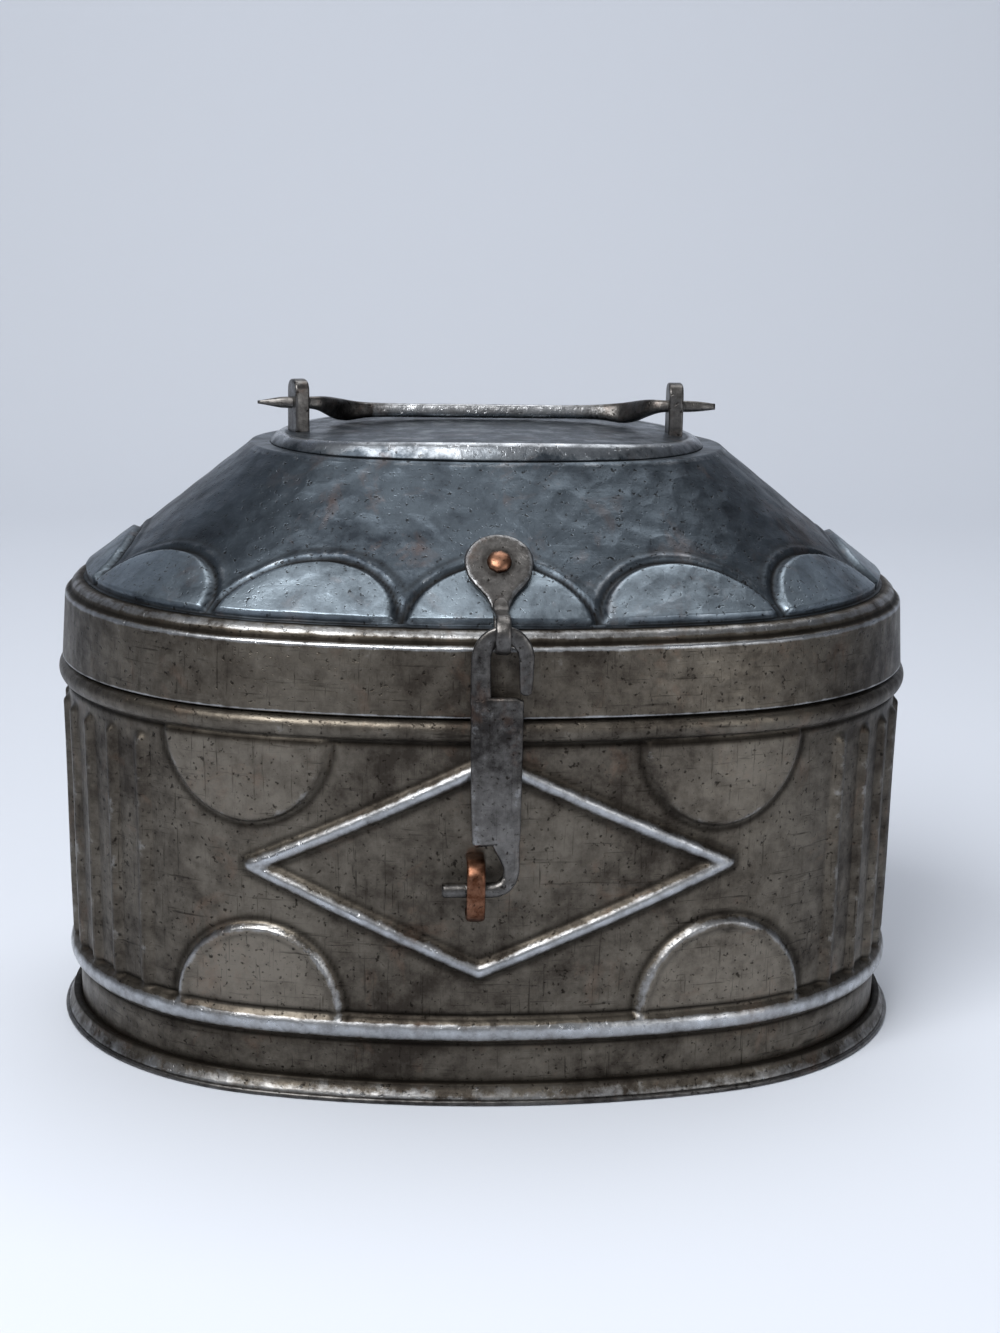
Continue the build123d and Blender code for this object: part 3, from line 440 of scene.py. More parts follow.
# Finishes
def add_node(tree, kind, inputs=None, **settings):
    """Add a node, with its inputs set or linked by name or number, and its settings."""
    item = tree.nodes.new(kind)
    for key, value in settings.items():
        setattr(item, key, value)
    for key, value in (inputs or {}).items():
        if isinstance(value, bpy.types.NodeSocket):
            tree.links.new(value, item.inputs[key])
        else:
            item.inputs[key].default_value = value
    return item


def rgba(colour):
    return (*colour, 1.0)


def new_material(name):
    material = bpy.data.materials.new(name)
    material.use_nodes = True
    material.node_tree.nodes.clear()
    return material, material.node_tree


def finish_material(tree, inputs):
    shader = add_node(tree, "ShaderNodeBsdfPrincipled", inputs)
    add_node(tree, "ShaderNodeOutputMaterial", {"Surface": shader.outputs[0]})


def tinned_copper(name, dark, mid, face, cloud_mm, mark_mm, mark_depth_mm, streak, roughness):
    """Copper sheet tinned by hand and gone dark: cloudy grey, pitted, bright where hands rub it and where a
    highlight is painted.
    """
    if name in bpy.data.materials:
        return bpy.data.materials[name]
    tones = colours()
    material, tree = new_material(name)
    place = add_node(tree, "ShaderNodeTexCoord").outputs["Object"]
    wear, recess, raised = (add_node(tree, "ShaderNodeAttribute", attribute_name=label).outputs["Fac"]
                            for label in ("wear", "recess", "face"))

    # Clouds of thick and thin tin, broad blotches, thin tin, fine streaks from wiping upright and
    # round the box, and pits: each as place, width in millimetres, detail, roughness and distortion
    upright, level = (add_node(tree, "ShaderNodeMapping", {"Vector": place, "Scale": scale}).outputs[0]
                      for scale in ((1.0, 1.0, 0.05), (0.06, 0.06, 1.0)))
    cloud, broad, thin, wipes, combed, pits = (
        add_node(tree, "ShaderNodeTexNoise", {
            "Vector": vector, "Scale": 1 / (width_mm * MM), "Detail": detail, "Roughness": coarseness,
            "Distortion": distortion}).outputs["Fac"]
        for vector, width_mm, detail, coarseness, distortion in (
            (place, cloud_mm, 6.0, 0.68, 0.0), (place, 46.0, 3.0, 0.6, 0.0), (place, 17.0, 5.0, 0.7, 0.6),
            (upright, 0.9, 3.0, 0.7, 0.0), (level, 1.1, 3.0, 0.7, 0.0), (place, 1.3, 2.0, 0.5, 0.0)))
    both = add_node(tree, "ShaderNodeMath", {0: cloud, 1: broad}, operation="ADD").outputs[0]
    lines = add_node(tree, "ShaderNodeMath", {0: wipes, 1: combed}, operation="MAXIMUM").outputs[0]

    # What each of them shows, as the values where it starts and ends, and what it gives at these
    tone, gloss, tinge, scored, pitted, patchy = (
        add_node(tree, "ShaderNodeMapRange", {
            "Value": value, "From Min": start, "From Max": end, "To Min": least, "To Max": most}).outputs[0]
        for value, start, end, least, most in (
            (both, 0.78, 1.24, 0.0, 1.0), (both, 0.78, 1.24, roughness + 0.12, roughness),
            (thin, 0.56, 0.78, 0.0, 0.25), (lines, 0.6, 0.74, 0.0, streak), (pits, 0.62, 0.72, 0.0, 0.8),
            (cloud, 0.3, 0.7, -0.3, 0.3)))

    # Unevenly lighter on raised faces, a painted reflection on the hood's scallops; bright in patches where
    # hands rub on what stands out, with painted highlights in the same share; dirt where it lies deep
    uneven = add_node(tree, "ShaderNodeMapRange", {"Value": tone, "To Min": 0.2, "To Max": 0.8}).outputs[0]
    lighter = add_node(tree, "ShaderNodeMath", {0: raised, 1: uneven}, operation="MULTIPLY").outputs[0]
    wear_highlight_and_patches = add_node(tree, "ShaderNodeMath", {0: wear, 1: patchy}, operation="ADD").outputs[0]
    # This share lays on the bright tin colour where hands rub and where a highlight is painted.
    rubbed_and_highlit = add_node(tree, "ShaderNodeMapRange", {
        "Value": wear_highlight_and_patches, "From Min": 0.3, "From Max": 1.2}).outputs[0]
    dirty = add_node(tree, "ShaderNodeMath", {0: recess, 1: 0.9}, operation="MULTIPLY",
                     use_clamp=True).outputs[0]
    base = rgba(dark)
    for share, colour in ((tone, mid), (lighter, face), (tinge, tones.copper_rub), (scored, tones.soot),
                          (pitted, tones.soot), (rubbed_and_highlit, tones.worn_and_highlight), (dirty, tones.soot)):
        base = add_node(tree, "ShaderNodeMix", {0: share, 6: base, 7: rgba(colour)},
                        data_type="RGBA").outputs[2]
    eased = add_node(tree, "ShaderNodeMath", {0: rubbed_and_highlit, 1: -0.16, 2: gloss},
                     operation="MULTIPLY_ADD").outputs[0]
    rough = add_node(tree, "ShaderNodeMath", {0: dirty, 1: 0.25, 2: eased}, operation="MULTIPLY_ADD",
                     use_clamp=True).outputs[0]

    # Overlapping hammer marks, then streaks, pits and swellings: strength, depth, and whether sunk
    marks = add_node(tree, "ShaderNodeTexVoronoi", {
        "Vector": place, "Scale": 1 / (mark_mm * MM), "Smoothness": 0.2}, feature="SMOOTH_F1")
    dishes = add_node(tree, "ShaderNodeMath", {0: marks.outputs["Distance"], 1: 2.0},
                      operation="POWER").outputs[0]
    below = {}
    for height, strength, depth_mm, sunk in ((dishes, 1.0, mark_depth_mm, False), (lines, 0.35, 0.12, True),
                                             (pitted, 0.6, 0.15, True), (cloud, 0.5, 0.35, False)):
        bump = add_node(tree, "ShaderNodeBump", {
            "Height": height, "Strength": strength, "Distance": depth_mm * MM, **below}, invert=sunk)
        below = {"Normal": bump.outputs[0]}
    finish_material(tree, {"Base Color": base, "Metallic": 1.0, "Roughness": rough, **below})
    return material


def wall_tin():
    """Tinned sheet of the wall, foot and band: brown-grey, duller, with many streaks from wiping."""
    tones = colours()
    return tinned_copper("tinned_copper_raised_wall", tones.wall_dark, tones.wall_mid, tones.wall_face,
                         cloud_mm=5.5, mark_mm=4.5, mark_depth_mm=0.16, streak=0.7, roughness=0.38)


def hood_tin():
    """Tinned sheet of the hood and top plate: blue-grey, smoother, in broad planishing marks. Its darker,
    bluer tones are partly a painted reflection of a dark room, and its light scallop faces a painted
    reflection of a bright sky.
    """
    tones = colours()
    return tinned_copper("tinned_copper_planished_hood", tones.hood_dark, tones.hood_mid, tones.scallop_face_reflection,
                         cloud_mm=8.0, mark_mm=sizes().hammer_mark / MM, mark_depth_mm=0.22, streak=0.25,
                         roughness=0.34)


def fitting_tin():
    """Tinned forged bar of the bail, ears, hasp and hinge: dark neutral grey, glossier, small marks."""
    tones = colours()
    return tinned_copper("tinned_copper_forged_bar", tones.fitting_dark, tones.fitting_mid, tones.worn_and_highlight,
                         cloud_mm=3.5, mark_mm=4.0, mark_depth_mm=0.15, streak=0.35, roughness=0.3)


def bare_copper():
    """Bare hammered copper of the rivets and the staple, toned brown and rubbed on its crests."""
    name = "bare_copper_hammered"
    if name in bpy.data.materials:
        return bpy.data.materials[name]
    tones = colours()
    material, tree = new_material(name)
    place = add_node(tree, "ShaderNodeTexCoord").outputs["Object"]
    wear = add_node(tree, "ShaderNodeAttribute", attribute_name="wear").outputs["Fac"]
    cloud, pits = (
        add_node(tree, "ShaderNodeTexNoise", {
            "Vector": place, "Scale": 1 / (width_mm * MM), "Detail": detail,
            "Roughness": coarseness}).outputs["Fac"]
        for width_mm, detail, coarseness in ((2.2, 5.0, 0.65), (0.7, 2.0, 0.5)))
    both = add_node(tree, "ShaderNodeMath", {0: wear, 1: 0.35, 2: cloud}, operation="MULTIPLY_ADD").outputs[0]
    tone, pitted = (
        add_node(tree, "ShaderNodeMapRange", {
            "Value": value, "From Min": start, "From Max": end, "To Max": most}).outputs[0]
        for value, start, end, most in ((both, 0.4, 0.95, 1.0), (pits, 0.6, 0.7, 0.7)))
    base = rgba(tones.copper_dark)
    for share, colour in ((tone, tones.copper_bright), (pitted, tones.soot)):
        base = add_node(tree, "ShaderNodeMix", {0: share, 6: base, 7: rgba(colour)},
                        data_type="RGBA").outputs[2]
    dents = add_node(tree, "ShaderNodeTexVoronoi", {"Vector": place, "Scale": 1 / (2.6 * MM)},
                     feature="SMOOTH_F1").outputs["Distance"]
    hammered = add_node(tree, "ShaderNodeBump", {"Height": dents, "Strength": 0.7, "Distance": 0.25 * MM})
    finish_material(tree, {"Base Color": base, "Metallic": 1.0, "Roughness": 0.38,
                           "Normal": hammered.outputs[0]})
    return material


def backdrop_paper():
    """Pale matt paper: plain, cool and light, so that the dark metal stands out."""
    material, tree = new_material("pale_backdrop_paper")
    finish_material(tree, {"Base Color": rgba(colours().backdrop), "Roughness": 0.9})
    return material


# Body
def bead(height, span):
    """Offset of one rolled bead, with a chased line along each side of it."""
    half = (span[1] - span[0]) / 2
    away = np.abs(height - sum(span) / 2)
    groove = chased(away - half - 0.5, 0.6) * (away > half)
    return BEAD_REACH * hump(away, half) - LINE_DEPTH * groove


def wall_offset(height):
    """Offset of the flaring wall from its size at the upper bead."""
    return -WALL_FLARE * np.clip(HIGH_BEAD[0] - height, 0, None) / (HIGH_BEAD[0] - FOOT_HIGH[2])


def diamond_relief(x, height, front):
    """Ridge along the diamond's four sides, and the chased lines beside it."""
    far = 1e3
    nearest = np.full(x.shape, far)
    for start, stop in zip(DIAMOND_CORNERS, DIAMOND_CORNERS[1:] + DIAMOND_CORNERS[:1]):
        run = np.array(stop) - np.array(start)
        along, up = x - start[0], height - start[1]
        share = np.clip((along * run[0] + up * run[1]) / (run @ run), 0, 1)
        nearest = np.minimum(nearest, np.hypot(along - share * run[0], up - share * run[1]))
    nearest = np.where(front, nearest, far)
    soft_foot, sharpness = 0.15, 1.4
    ridge = hump(nearest, RIDGE_HALF_WIDTH + soft_foot) ** sharpness
    return ridge, chased(nearest - RIDGE_HALF_WIDTH - LINE_AWAY, LINE_AWAY)


def disc_relief(x, height):
    """Half discs, on the front and, the same way, on the back: their body, face, rim and lines.

    Those below have a sunk face inside a rolled rim, and those above are flat.
    """
    outside = -9.0
    raised, face, rim, line = (np.zeros(x.shape) for _ in range(4))
    for discs, sunk in ((DISCS_HIGH, 0.0), (DISCS_LOW, DISC_SUNK)):
        for centre, half_width, foot, rise in discs:
            up = (height - foot) * np.sign(rise)
            inside, _ = inside_half_oval(x - centre, up, half_width, abs(rise))
            inside = np.where(up < 0, outside, inside)
            hollow = sunk * smooth((inside - RIM_WIDTH) / 1.6)
            raised = np.maximum(raised, smooth(inside / DISC_EDGE) * (1 - hollow))
            face = np.maximum(face, smooth((inside - 0.8) / 1.4) * (0.5 + 1.2 * sunk))
            rim = np.maximum(rim, chased(inside - RIM_WIDTH / 2, 1.1) * (0.35 + 1.2 * sunk))
            line = np.maximum.reduce([line, chased(inside + LINE_AWAY, 1.0),
                                      sunk * chased(inside - RIM_WIDTH - 1.0, 0.8)])
    return raised, face, rim, line


def rib_relief(lengths, height, total):
    """Upright ribs round both ends of the drum."""
    ribs = np.zeros(height.shape)
    for end in (0.25, 0.75):
        for step in range(RIB_COUNT):
            middle = end * total + (step - (RIB_COUNT - 1) / 2) * RIB_PITCH
            ribs = np.maximum(ribs, hump(lengths - middle, RIB_HALF_WIDTH))
    foot_run, top_run = 2, 3
    return ribs * smooth((height - RIB_FOOT) / foot_run) * smooth((RIB_TOP - height) / top_run)


def wall_heights():
    """Heights of the wall's rings, closest over the beads."""
    margin = 1.5
    top = WALL_HIGH[2] - NECK_EDGE
    runs = ((LOW_BEAD[0] - margin, 6), (LOW_BEAD[1] + margin, 17), (HIGH_BEAD[0] - margin, 118),
            (HIGH_BEAD[1], 15), (top, 3))
    return np.append(stepped(runs, PAN_TOP), top)


def build_wall():
    """Drum wall: raised work outside, a neck above and a plain lining inside."""
    shares = stepped(WALL_RUNS)
    turns, total = turns_at(WALL_HALF_LENGTH, WALL_HALF_WIDTH, shares)
    lengths = shares * total
    plan = oval(WALL_HALF_LENGTH, WALL_HALF_WIDTH, turns)
    level, x = np.meshgrid(wall_heights(), plan[:, 0], indexing="ij")
    ridge, ridge_line = diamond_relief(x, level, plan[:, 1] < 0)
    raised, face, rim, disc_line = disc_relief(x, level)
    ribs = rib_relief(lengths, level, total)

    # Raised work lies between the beads, and its lines show only beside it
    scale = sizes()
    relief = np.maximum.reduce([ridge * scale.ridge_height, raised * scale.disc_height,
                                ribs * scale.rib_height]) / MM
    relief = relief - LINE_DEPTH * np.where(relief < 0.2, np.maximum(ridge_line, disc_line), 0)
    lower, upper = LOW_BEAD[0] + 3.5, HIGH_BEAD[0] + 1.0
    relief = np.where((level > lower) & (level < upper), relief, 0)
    beads = bead(level, LOW_BEAD) + np.where(level < HIGH_BEAD[1], bead(level, HIGH_BEAD), 0)
    # Slow waves of hand work round the drum, and the neck drawn in above the upper bead
    waves = WAVE_DEPTH * np.sin(lengths / 23.0 + level / 31.0) * np.sin(lengths / 37.0 - level / 17.0)
    drawn_in = 0.05 + NECK_INSET * np.clip((level - HIGH_BEAD[1] + NECK_RUN) / NECK_RUN, 0, 1)
    offset = wall_offset(level) + np.maximum(beads, relief) + np.minimum(beads, 0) + waves * (level < upper)
    offset = np.minimum(offset - drawn_in, BEAD_REACH)

    top, neck, mid_height = WALL_HIGH[2], -NECK_INSET - SHEET, 60.0
    lining = ((top, neck + SHEET - 0.35), (top, neck + 0.3), (top - NECK_EDGE, neck), (HIGH_BEAD[1], neck),
              (HIGH_BEAD[0], -SHEET), (mid_height, wall_offset(mid_height) - SHEET),
              (PAN_TOP, wall_offset(2.0) - SHEET))
    lining_level, lining_offset = np.array(lining).T[..., None] + np.zeros(len(plan))
    rings = shell_rings(WALL_HALF_LENGTH, WALL_HALF_WIDTH, turns, np.concatenate([offset, lining_offset]),
                        np.concatenate([level, lining_level]))

    # The lower bead's crest is painted bright, partly bare tin where hands rub and partly a painted
    # highlight, the upper bead's hardly; the discs' rolled rims carry both as well.
    wear = np.maximum.reduce([0.95 * hump(level - sum(LOW_BEAD) / 2, 2.6),
                              0.1 * hump(level - sum(HIGH_BEAD) / 2, 2.4),
                              0.95 * ridge**2, 0.8 * rim, 0.25 * ribs])
    deep = np.maximum.reduce([0.7 * ridge_line, np.where(relief > 0.5, 0.4, 0.85) * disc_line,
                              chased(level - LOW_BEAD[0] + 0.8, 0.8), chased(level - LOW_BEAD[1] - 0.8, 0.8),
                              chased(level - HIGH_BEAD[0] + 0.9, 1.0)])
    between = (level > LOW_BEAD[1]) & (level < HIGH_BEAD[0] - 2.0)
    plain = np.zeros(lining_level.shape)
    return surface("drum_wall", rings, looped=True,
                   wear=np.concatenate([wear * (1 - 0.6 * deep), plain]),
                   recess=np.concatenate([deep * (1 - wear), plain + 0.3]),
                   face=np.concatenate([face * between, plain]))


def build_foot():
    """Foot with a hollow flare, darkest where it meets the wall."""
    reach = FOOT_HIGH[0] - WALL_HALF_LENGTH
    top, wall = FOOT_HIGH[2], wall_offset(3.0) + 0.1
    profile = [(0.5, reach - 1.4, 0, 0.5), (1.1, reach - 1.0, 0.3, 0)]
    profile += [(top - (top - 2.0) * s, 0.5 + (reach - 1.6) * (1 - math.cos(s * math.pi / 2)) ** 0.9,
                 0.1 + 0.4 * s, 0.9 - 0.9 * min(1, 3 * s)) for s in np.linspace(1, 0, 8)]
    profile += [(top, wall, 0, 1), (1.0, wall, 0, 1), (0.5, 0.6, 0, 0.6)]
    return profile_shell("foot_skirt", WALL_HALF_LENGTH, WALL_HALF_WIDTH, profile)


def build_band():
    """Lid's band, a painted highlight along its top edge and the dark groove above it, the shoulder, and the
    lining.
    """
    base, top, shoulder = BAND_LOW[2], BAND_LOW[2] + BAND_RISE, BAND_HIGH[2]
    rows = [(base, -0.5, 0.5, 0.3), (base, -0.25, 0.6, 0.2), (base + 0.3, -0.02, 0.7, 0)]
    rows += [(base + 0.9 + (BAND_RISE - 1.9) * s, -0.02 - BAND_DRAFT * (0.05 + 0.9 * s), 0.1 * s, 0)
             for s in np.linspace(0, 1, 14)]
    # Up over the top edge: a painted highlight on the crease, the dark groove, then a lighter strip on the
    # shoulder
    rows += [(top + rise, -BAND_DRAFT - inset, wear, recess) for rise, inset, wear, recess in (
        (-0.3, 0, 0.75, 0), (0.1, 0.1, 1.0, 0), (0.5, 0.5, 0.5, 0.3), (0.8, 1.2, 0, 1.0), (1.4, 1.7, 0, 1.0),
        (2.0, 1.8, 0.1, 0.6), (2.7, 2.1, 0.55, 0), (3.6, 2.9, 0.6, 0))]
    rows += [(shoulder, -SHOULDER_INSET + 0.2, 0.3, 0.3), (shoulder, -SHOULDER_INSET - 0.6, 0, 0.9),
             (shoulder, -HOOD_INSET - SHEET, 0, 0.6), (shoulder - SHEET, -HOOD_INSET - SHEET, 0, 0.3),
             (top, -BAND_DRAFT - SHEET, 0, 0.3), (base, -SHEET, 0, 0.3)]
    return profile_shell("lid_band_sheet", BAND_HIGH[0], BAND_HIGH[1], rows)


# Hood
def build_hood():
    """Hood with its ring of scallops, a lip above each, and light hammering all over."""
    turns, total = turns_at(HOOD_HALF_LENGTH, HOOD_HALF_WIDTH, even(HOOD_COLUMNS))
    foot = oval(HOOD_HALF_LENGTH, HOOD_HALF_WIDTH, turns)
    head = oval(HOOD_TOP_HALF_LENGTH, HOOD_TOP_HALF_WIDTH, turns)
    facing = outwards(turns)
    rise = HOOD_HIGH[2] - HOOD_LOW[2]
    lean = np.sum((foot - head) * facing, 1) / rise
    slant = np.sqrt(1 + lean**2)

    # Places on the slope: along the foot, up the slope, and across and above each scallop's foot
    lengths = even(HOOD_COLUMNS) * total
    shares = np.append(stepped(HOOD_RUNS), 1.0)[:, None]
    up = shares * rise * slant
    pitch = total / SCALLOP_COUNT
    across = (lengths + pitch / 2) % pitch - pitch / 2
    above = up - SCALLOP_FOOT
    inside, way_out = inside_half_oval(across, above, SCALLOP_RADIUS, SCALLOP_RISE)
    inside = np.where(above < 0, above, np.minimum(inside, 2 * above))

    # Each scallop is a little domed, with a chased line and then a lip round it, over fine hammering
    raised = smooth(inside / 1.3) * (0.82 + 0.18 * np.clip(1 - way_out**2, 0, 1))
    line = chased(inside + 0.6, 0.75) * (above > -0.5)
    lip = chased(inside + 2.6, 1.0) * (above > 0)
    ripple = (0.12 * np.sin(lengths / 3.9 + 2 * np.sin(up / 5.0))
              * np.sin(up / 3.3 + 1.5 * np.sin(lengths / 7.0)))
    height = sizes().scallop_height / MM * raised - 0.5 * line + 0.3 * lip + ripple - 0.1
    height = height * smooth((1 - shares) * 25)
    plan = foot + (head - foot) * shares[..., None] + facing * (height / slant)[..., None]
    level = np.minimum(HOOD_LOW[2] + shares * rise + height * (lean / slant), HOOD_HIGH[2])

    lining, under = 1.5 * SHEET, HOOD_HIGH[2] - SHEET
    before = [level_ring(*HOOD_MIDDLE, turns, under),
              level_ring(HOOD_TOP_HALF_LENGTH - lining, HOOD_TOP_HALF_WIDTH - lining, turns, under),
              level_ring(HOOD_HALF_LENGTH - lining, HOOD_HALF_WIDTH - lining, turns, HOOD_LOW[2])]
    after = [level_ring(HOOD_TOP_HALF_LENGTH - 0.8, HOOD_TOP_HALF_WIDTH - 0.8, turns, HOOD_HIGH[2]),
             level_ring(*HOOD_MIDDLE, turns, HOOD_HIGH[2])]
    points = np.concatenate([before, np.concatenate([plan, level[..., None]], -1), after])
    wear = 0.25 * chased(inside - 1.3, 1.0) + 0.35 * lip + 0.5 * chased(shares - 0.985, 0.012)
    deep = np.maximum.reduce([line, 0.5 * chased(inside + 4.2, 0.8) * (above > 0), 0.9 * chased(up, 0.9)])
    # face marks the scallops' faces, which the hood's tin paints light as a painted reflection
    wear, deep, face = (np.pad(values, ((len(before), len(after)), (0, 0)))
                        for values in (wear, deep, smooth((inside - 0.5) / 1.2)))
    return surface("scalloped_hood", points, wear=wear, recess=deep, face=face)


def crown(x):
    """Height of the plate's crowned top at a place along its length."""
    return PLATE_HIGH[2] - PLATE_CROWN * (x / PLATE_HIGH[0]) ** 2


def build_top_plate():
    """Crowned plate: its bevel, and its top with a chased line just inside the edge."""
    turns, _ = turns_at(PLATE_HIGH[0], PLATE_HIGH[1], even(PLATE_COLUMNS))
    facing = outwards(turns)
    edge = oval(PLATE_HIGH[0], PLATE_HIGH[1], turns)
    field = edge - facing * PLATE_BEVEL
    rings = [np.column_stack([field * PLATE_MIDDLE, np.full(len(turns), PLATE_LOW[2])])]
    shares = [(0, 0)]
    # The bevel's first shares rise towards its top edge: a painted highlight along the bevel, as well as
    # bright tin where hands rub.
    for share, wear, recess in ((0.0, 0.1, 0.9), (0.06, 0.4, 0.2), (0.5, 0.65, 0), (0.9, 0.8, 0),
                                (0.97, 0.9, 0)):
        spots = edge - facing * PLATE_BEVEL * (0.15 + 0.85 * share)
        rise = (crown(spots[:, 0]) - PLATE_LOW[2]) * math.sin(share * math.pi / 2) ** 0.8
        rings.append(np.column_stack([spots, PLATE_LOW[2] + rise]))
        shares.append((wear, recess))
    for share in (1.0, 0.985, 0.97, 0.93, 0.85, 0.7, 0.55, 0.4, 0.25, 0.1, PLATE_MIDDLE):
        spots = field * share
        dip = 0.35 * chased(share - 0.955, 0.015)
        rings.append(np.column_stack([spots, crown(spots[:, 0]) - dip - 0.02]))
        shares.append((0.75 if share > 0.98 else 0.3, 0.4 if dip > 0.1 else 0))
    wear, recess = np.array(shares).T[..., None]
    return surface("crowned_plate", np.stack(rings), wear=wear, recess=recess)


# Bail and ears
def build_ear(name, twist, x):
    """Upright tab with rounded top corners, turned by a few degrees about its own upright axis."""
    half_width, half_thickness = (EAR_HIGH[1] - EAR_LOW[1]) / 2, (EAR_HIGH[0] - EAR_LOW[0]) / 2
    cut = EAR_CORNER * 2 * half_width
    side = [(half_width, HOOD_HIGH[2])]
    side += [(half_width - cut * s**2, EAR_HIGH[2] - cut * (1 - s) ** 2) for s in np.linspace(0, 1, 6)]
    outline = side + [(-y, z) for y, z in side[::-1]]
    place = Matrix.Translation((x, 0, 0)) @ Matrix.Rotation(math.radians(twist), 4, "Z")
    points = [place @ Vector((depth, y, z)) * MM for depth in (-half_thickness, half_thickness)
              for y, z in outline]
    count = len(outline)
    ring = list(range(count))
    faces = [ring[::-1], [i + count for i in ring]]
    faces += [(i, (i + 1) % count, (i + 1) % count + count, i + count) for i in ring]
    mesh = bpy.data.meshes.new(name)
    mesh.from_pydata(points, [], faces)
    mesh.shade_smooth()
    piece = new_object(name, mesh)
    rim = piece.modifiers.new("rim", "BEVEL")
    rim.width = EAR_RIM * MM
    rim.segments = 3
    rim.limit_method = "ANGLE"
    rim.angle_limit = math.radians(50)
    rim.harden_normals = True
    return baked(piece)


def build_bail():
    """The bar, its flattened elbows and the two pins, folded down at the back."""
    drop = PIVOT[2] - PLATE_HIGH[2] - BAIL_CLEARANCE - BAIL_HALF_THICKNESS
    tilt = math.asin(drop / BAIL_REACH)
    back = np.array([0, math.cos(tilt), -math.sin(tilt)])
    # x, reach, drop below the bail's plane, width in that plane, thickness across it, roll in degrees
    stations = np.array([
        (0.0, BAIL_REACH, 0, 4.3, 4.0, 0), (24.0, BAIL_REACH, 0, 4.4, 4.0, 0), (33.0, 14.8, 0, 4.3, 4.2, -3),
        (37.5, 14.0, 0.2, 3.9, 5.0, -8), (41.0, 12.0, 0.6, 3.4, 6.2, -14), (44.0, 8.4, 0.6, 3.2, 6.3, -18),
        (46.6, 4.2, 0.2, 3.2, 5.2, -16), (48.8, 1.2, 0, 3.3, 4.2, -6), (50.8, 0.1, 0, 3.4, 3.5, 0),
        (53.0, 0, 0, 3.3, 3.3, 0), (57.5, 0, 0, 3.3, 3.3, 0), (BAIL_PIN_SHOULDER, 0, 0, 3.2, 3.2, 0),
        (64.0, 0, 0, 2.6, 2.6, 0), (BAIL_PIN_TIP, 0, 0, 1.6, 1.6, 0)])
    steps = np.concatenate([[0], np.cumsum(np.hypot(*np.diff(stations[:, :2], axis=0).T))])
    fine = np.linspace(0, steps[-1], 90)

    # Each column is softened, mirrored at the middle so that the halves meet, and then doubled
    kernel = np.array([1, 2, 3, 4, 3, 2, 1]) / 16
    half = []
    for index, column in enumerate(stations.T):
        column = np.interp(fine, steps, column)
        before = column[3:0:-1] * (-1 if index == 0 else 1)
        half.append(np.convolve(np.concatenate([before, column, np.repeat(column[-1], 3)]), kernel, "valid"))
    x, reach, low, width, depth, roll = (np.concatenate([column[:0:-1], column]) for column in half)
    side = np.sign(np.arange(len(x)) - len(x) // 2)
    x = np.where(np.abs(x) > 66, BAIL_PIN_TIP, x)
    path = PIVOT + np.outer(side * x, (1, 0, 0)) + np.outer(reach, back) - np.outer(low, (0, 0, 1))
    left_pin = (side < 0) & (x > BAIL_PIN_SHOULDER)
    thin = np.where(left_pin, 1 - 0.5 * (x - BAIL_PIN_SHOULDER) / 7, 1)
    # The middle of the bar gets a painted highlight in the bright tin colour.
    return sweep("bail_bar", path, width * thin, depth * thin, across=back, corner=3.2, sides=24,
                 rolls=np.radians(side * roll), painted_highlight=0.65 * np.exp(-(x / 34.0) ** 8))


# Hasp
def hasp_axes():
    """Directions out of the hasp's plate and up along it."""
    out = np.array(JOINTS["hasp_swivel"]["axis"], float)
    out /= np.linalg.norm(out)
    return out, np.cross(out, (1.0, 0.0, 0.0))


